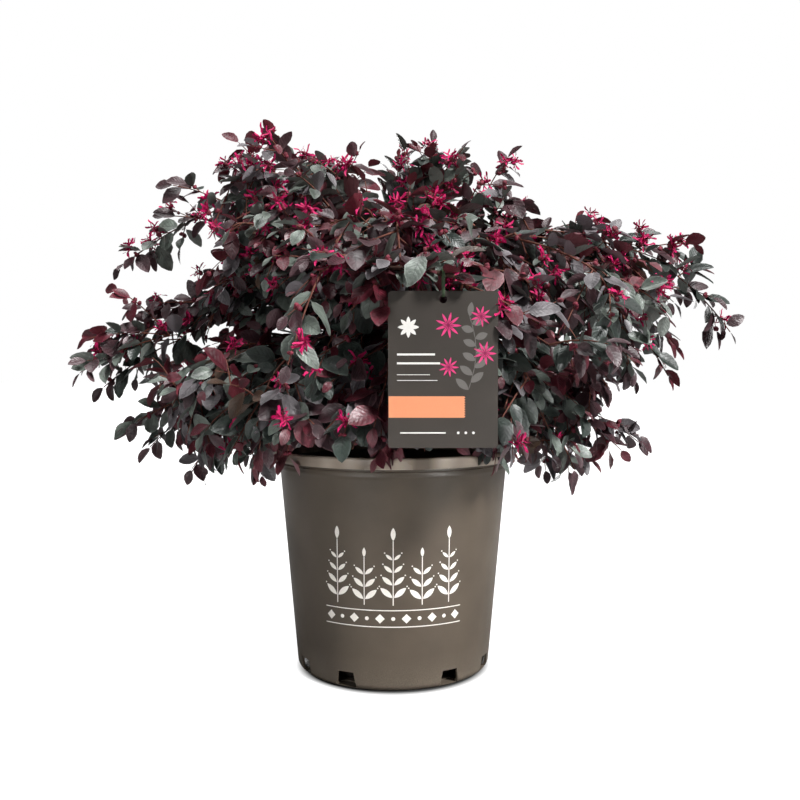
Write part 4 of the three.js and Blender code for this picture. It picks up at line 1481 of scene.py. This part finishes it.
def finish_print(bm, name, ink, lift=PRINT_LIFT):
    bent_tag(bm, lift)
    new_piece(name, mesh_from(bm, to_front=True), ink, "tag")


def make_tag_band():
    """A peach band across the lower part, its right edge cut by pinking shears."""
    left, right, low, high = -TAG["width"] / 2 + 0.0004, 0.0165, -0.1, -0.083
    teeth, tooth = 9, 0.0012

    def place(x, y):
        across, up = (x + 1) / 2, (y + 1) / 2
        end = right + (tooth if round(up * 2 * teeth) % 2 else 0)
        return left + (end - left) * across, 0, low + (high - low) * up

    bm = bmesh.new()
    laid(bm, 24, 2 * teeth, place)
    finish_print(bm, "tag_band", printed_material("tag_peach", "#e8956c", "#dc875d"), 0.00008)


def make_tag_print():
    """A pale star, rules and dots, and beside them a muted leafy spray with star-shaped pink blooms."""
    rules = bmesh.new()
    add_rule_print(rules, (-0.016, -0.112), 0.036, 0.0011)
    for i in range(3):
        add_dot_print(rules, (0.012 + 0.006 * i, -0.112), 0.0011)
    for level, length in ((-0.05, 0.03), (-0.057, 0.034), (-0.066, 0.026), (-0.0705, 0.032)):
        add_rule_print(rules, (-0.0365 + length / 2, level), length, 0.0016 if level > -0.06 else 0.0005)
    for k in range(8):
        add_leaf_print(rules, (-0.0275, -0.0285), 45 * k, 0.0085, 0.0032)
    ink = printed_material("tag_white", "#eeebe6", "#cfc9c1")
    finish_print(rules, "tag_rules", ink)
    leaves = bmesh.new()
    stalk = [(0.02 + 0.006 * math.sin(0.3 * i), -0.078 + 0.0058 * i) for i in range(11)]
    for (x, z), (next_x, next_z) in zip(stalk, stalk[1:]):
        turn = math.degrees(math.atan2(next_x - x, next_z - z))
        add_leaf_print(leaves, (x, z), turn, 0.0068, 0.0007)
    for i, foot in enumerate(stalk[:-1]):
        add_leaf_print(leaves, foot, -side_of(i) * (48 + 3 * i), 0.0135 - 0.0004 * i, 0.0058)
    add_leaf_print(leaves, stalk[-1], 8, 0.0115, 0.005)
    finish_print(leaves, "tag_leaves", printed_material("tag_leaf_ink", "#6d6a66", "#57504d"))
    blooms = bmesh.new()
    hearts = bmesh.new()
    for x, z, size in TAG_BLOOMS:
        for k in range(9):
            add_leaf_print(blooms, (x, z), 40 * k + 12, size, size * 0.2)
            add_leaf_print(hearts, (x, z), 40 * k + 12, size * 0.45, size * 0.07)
        add_dot_print(hearts, (x, z), size * 0.13)
    pink = printed_material("tag_pink_ink", "#dd3f7e", "#c2306a")
    finish_print(blooms, "tag_blooms", pink)
    heart = printed_material("tag_heart_ink", "#8a1f4c", "#741a40")
    finish_print(hearts, "tag_hearts", heart, 1.5 * PRINT_LIFT)


def make_strap():
    """A closed plastic band over the bough and through the tag's hole, its edges rounded."""
    low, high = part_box("tag_strap")
    centre = (low + high) / 2
    outer = (high.y - low.y) / 2
    thick = 0.001
    bm = bmesh.new()
    loops = []
    for radius in (outer, outer - thick):
        points = arc((0, high.z - outer), radius, 0, 180, 16) + arc((0, low.z + outer), radius, 180, 360, 16)
        verts = [bm.verts.new((low.x, centre.y + y, z)) for y, z in points]
        loops.append([bm.edges.new((verts[i - 1], verts[i])) for i in range(len(verts))])
    bmesh.ops.bridge_loops(bm, edges=loops[0] + loops[1])
    pushed(bm, bm.faces[:], (high.x - low.x, 0, 0))
    rims = [e for e in bm.edges if len(e.link_faces) == 2 and e.calc_face_angle() > 1.2]
    bmesh.ops.bevel(bm, geom=rims, offset=0.00025, segments=2, profile=0.5, affect="EDGES", material=-1)
    green = card_material("strap_green", "#4c5f42", "#3a4a35", 0.0004)
    new_piece("strap_band", mesh_from(bm, smooth_angle=40), green, "tag_strap", "tag_strap")


# Stage, light and camera

# where the floor starts to glow and where it glows fully, round a point a little in front of the origin;
# inside this its colour darkens into a painted contact shadow
FLOOR_GLOW = {"forward": 0.007, "from": 0.092, "to": 0.102}
# each light's name, the place it shines from, its strength and how many degrees across it looks
SUNS = (("key", (1.0, -0.85, 1.15), 5.1, 12), ("sky", (-0.2, 0.1, 1), 2.35, 36))
SURROUND = 0.012
# each softbox's name, place, width, height, power, spread in degrees, and the height that it aims at
SOFTBOXES = (
    ("strip", (-0.62, -1.3, 0.16), 0.16, 0.2, 0.075, 22, 0.11),
    ("pot_box", (1.3, -1.2, 0.16), 0.5, 0.24, 0.2, 16, 0.13),
    ("front_box", (0.95, -1.4, 0.6), 0.7, 0.7, 1.25, 180, 0.3),
    ("side_box", (-1.1, -1.2, 0.7), 0.5, 0.5, 0.4, 50, 0.34),
    ("rear_box", (-0.5, 1.6, 0.5), 0.8, 0.6, 2.2, 60, 0.25),
)

CAMERA = {"distance": 0.944, "height": 0.305, "pitch": 0.0323, "yaw": 0.0076, "focal_pixels": 899.5}


def make_stage():
    """A floor that glows white for the camera, as a lit table does, but not round the pot's foot, where its
    colour is darkened into a painted contact shadow.
    """
    bm = bmesh.new()
    bmesh.ops.create_grid(bm, x_segments=1, y_segments=1, size=20)
    floor = new_object("floor", mesh_from(bm))
    material, tree = new_material("floor_white")
    seen = add_node(tree, "LightPath").outputs["Is Camera Ray"]
    place = add_node(tree, "TexCoord").outputs["Object"]
    middle = (0, -FLOOR_GLOW["forward"], 0)
    away = add_node(tree, "VectorMath", {0: place, 1: middle}, operation="DISTANCE").outputs["Value"]
    amount = ranged(tree, away, given=(FLOOR_GLOW["from"], FLOOR_GLOW["to"]))
    # Painted shadow: the floor's colour darkens to near black round the pot's foot.
    grey = mixed(tree, amount, (0.05, 0.05, 0.05, 1), (0.22, 0.22, 0.22, 1))
    glow = reckoned(tree, "MULTIPLY", seen, amount)
    shade(material, base_color=grey, roughness=0.9, emission_color=(1, 1, 1, 1), emission_strength=glow)
    floor.data.materials.append(material)


def new_light(kind, name, place, aim, energy):
    """A light that is aimed at a place."""
    light = bpy.data.lights.new(name, kind)
    light.energy = energy
    lamp = new_object(name, light)
    lamp.location = place
    lamp.rotation_euler = (Vector(place) - Vector(aim)).to_track_quat("Z", "Y").to_euler()
    return light


def make_lights():
    """A key from the upper right, a softer light above, softboxes all round and a dim even surround."""
    for name, place, strength, spread in SUNS:
        light = new_light("SUN", name, place, (0, 0, 0), strength)
        light.angle = math.radians(spread)
    for name, place, width, height, power, spread, aim in SOFTBOXES:
        light = new_light("AREA", name, place, (0, 0, aim), power)
        light.shape = "RECTANGLE"
        light.size, light.size_y = width, height
        light.spread = math.radians(spread)
    world = bpy.data.worlds.new("surround")
    bpy.context.scene.world = world
    world.use_nodes = True
    tree = world.node_tree
    surround = tree.nodes["Background"].inputs
    surround["Color"].default_value = (1, 1, 1, 1)
    seen = add_node(tree, "LightPath").outputs["Is Camera Ray"]
    tree.links.new(ranged(tree, seen, (SURROUND, 1.0)), surround["Strength"])


def make_camera():
    camera = bpy.data.cameras.new("camera")
    camera.sensor_width = 36
    camera.lens = CAMERA["focal_pixels"] / 800 * camera.sensor_width
    stand = new_object("camera", camera)
    stand.location = (0, -CAMERA["distance"], CAMERA["height"])
    stand.rotation_euler = (math.pi / 2 - CAMERA["pitch"], 0, -CAMERA["yaw"])
    bpy.context.scene.camera = stand
    bpy.context.scene.view_settings.view_transform = "Standard"


make_pot()
make_pot_print()
make_soil()
make_chips()
make_trunk()
shoots = lay_out_shoots()
make_boughs(shoots)
make_foliage(shoots)
make_tag_card()
make_tag_band()
make_tag_print()
make_strap()
make_stage()
make_lights()
make_camera()
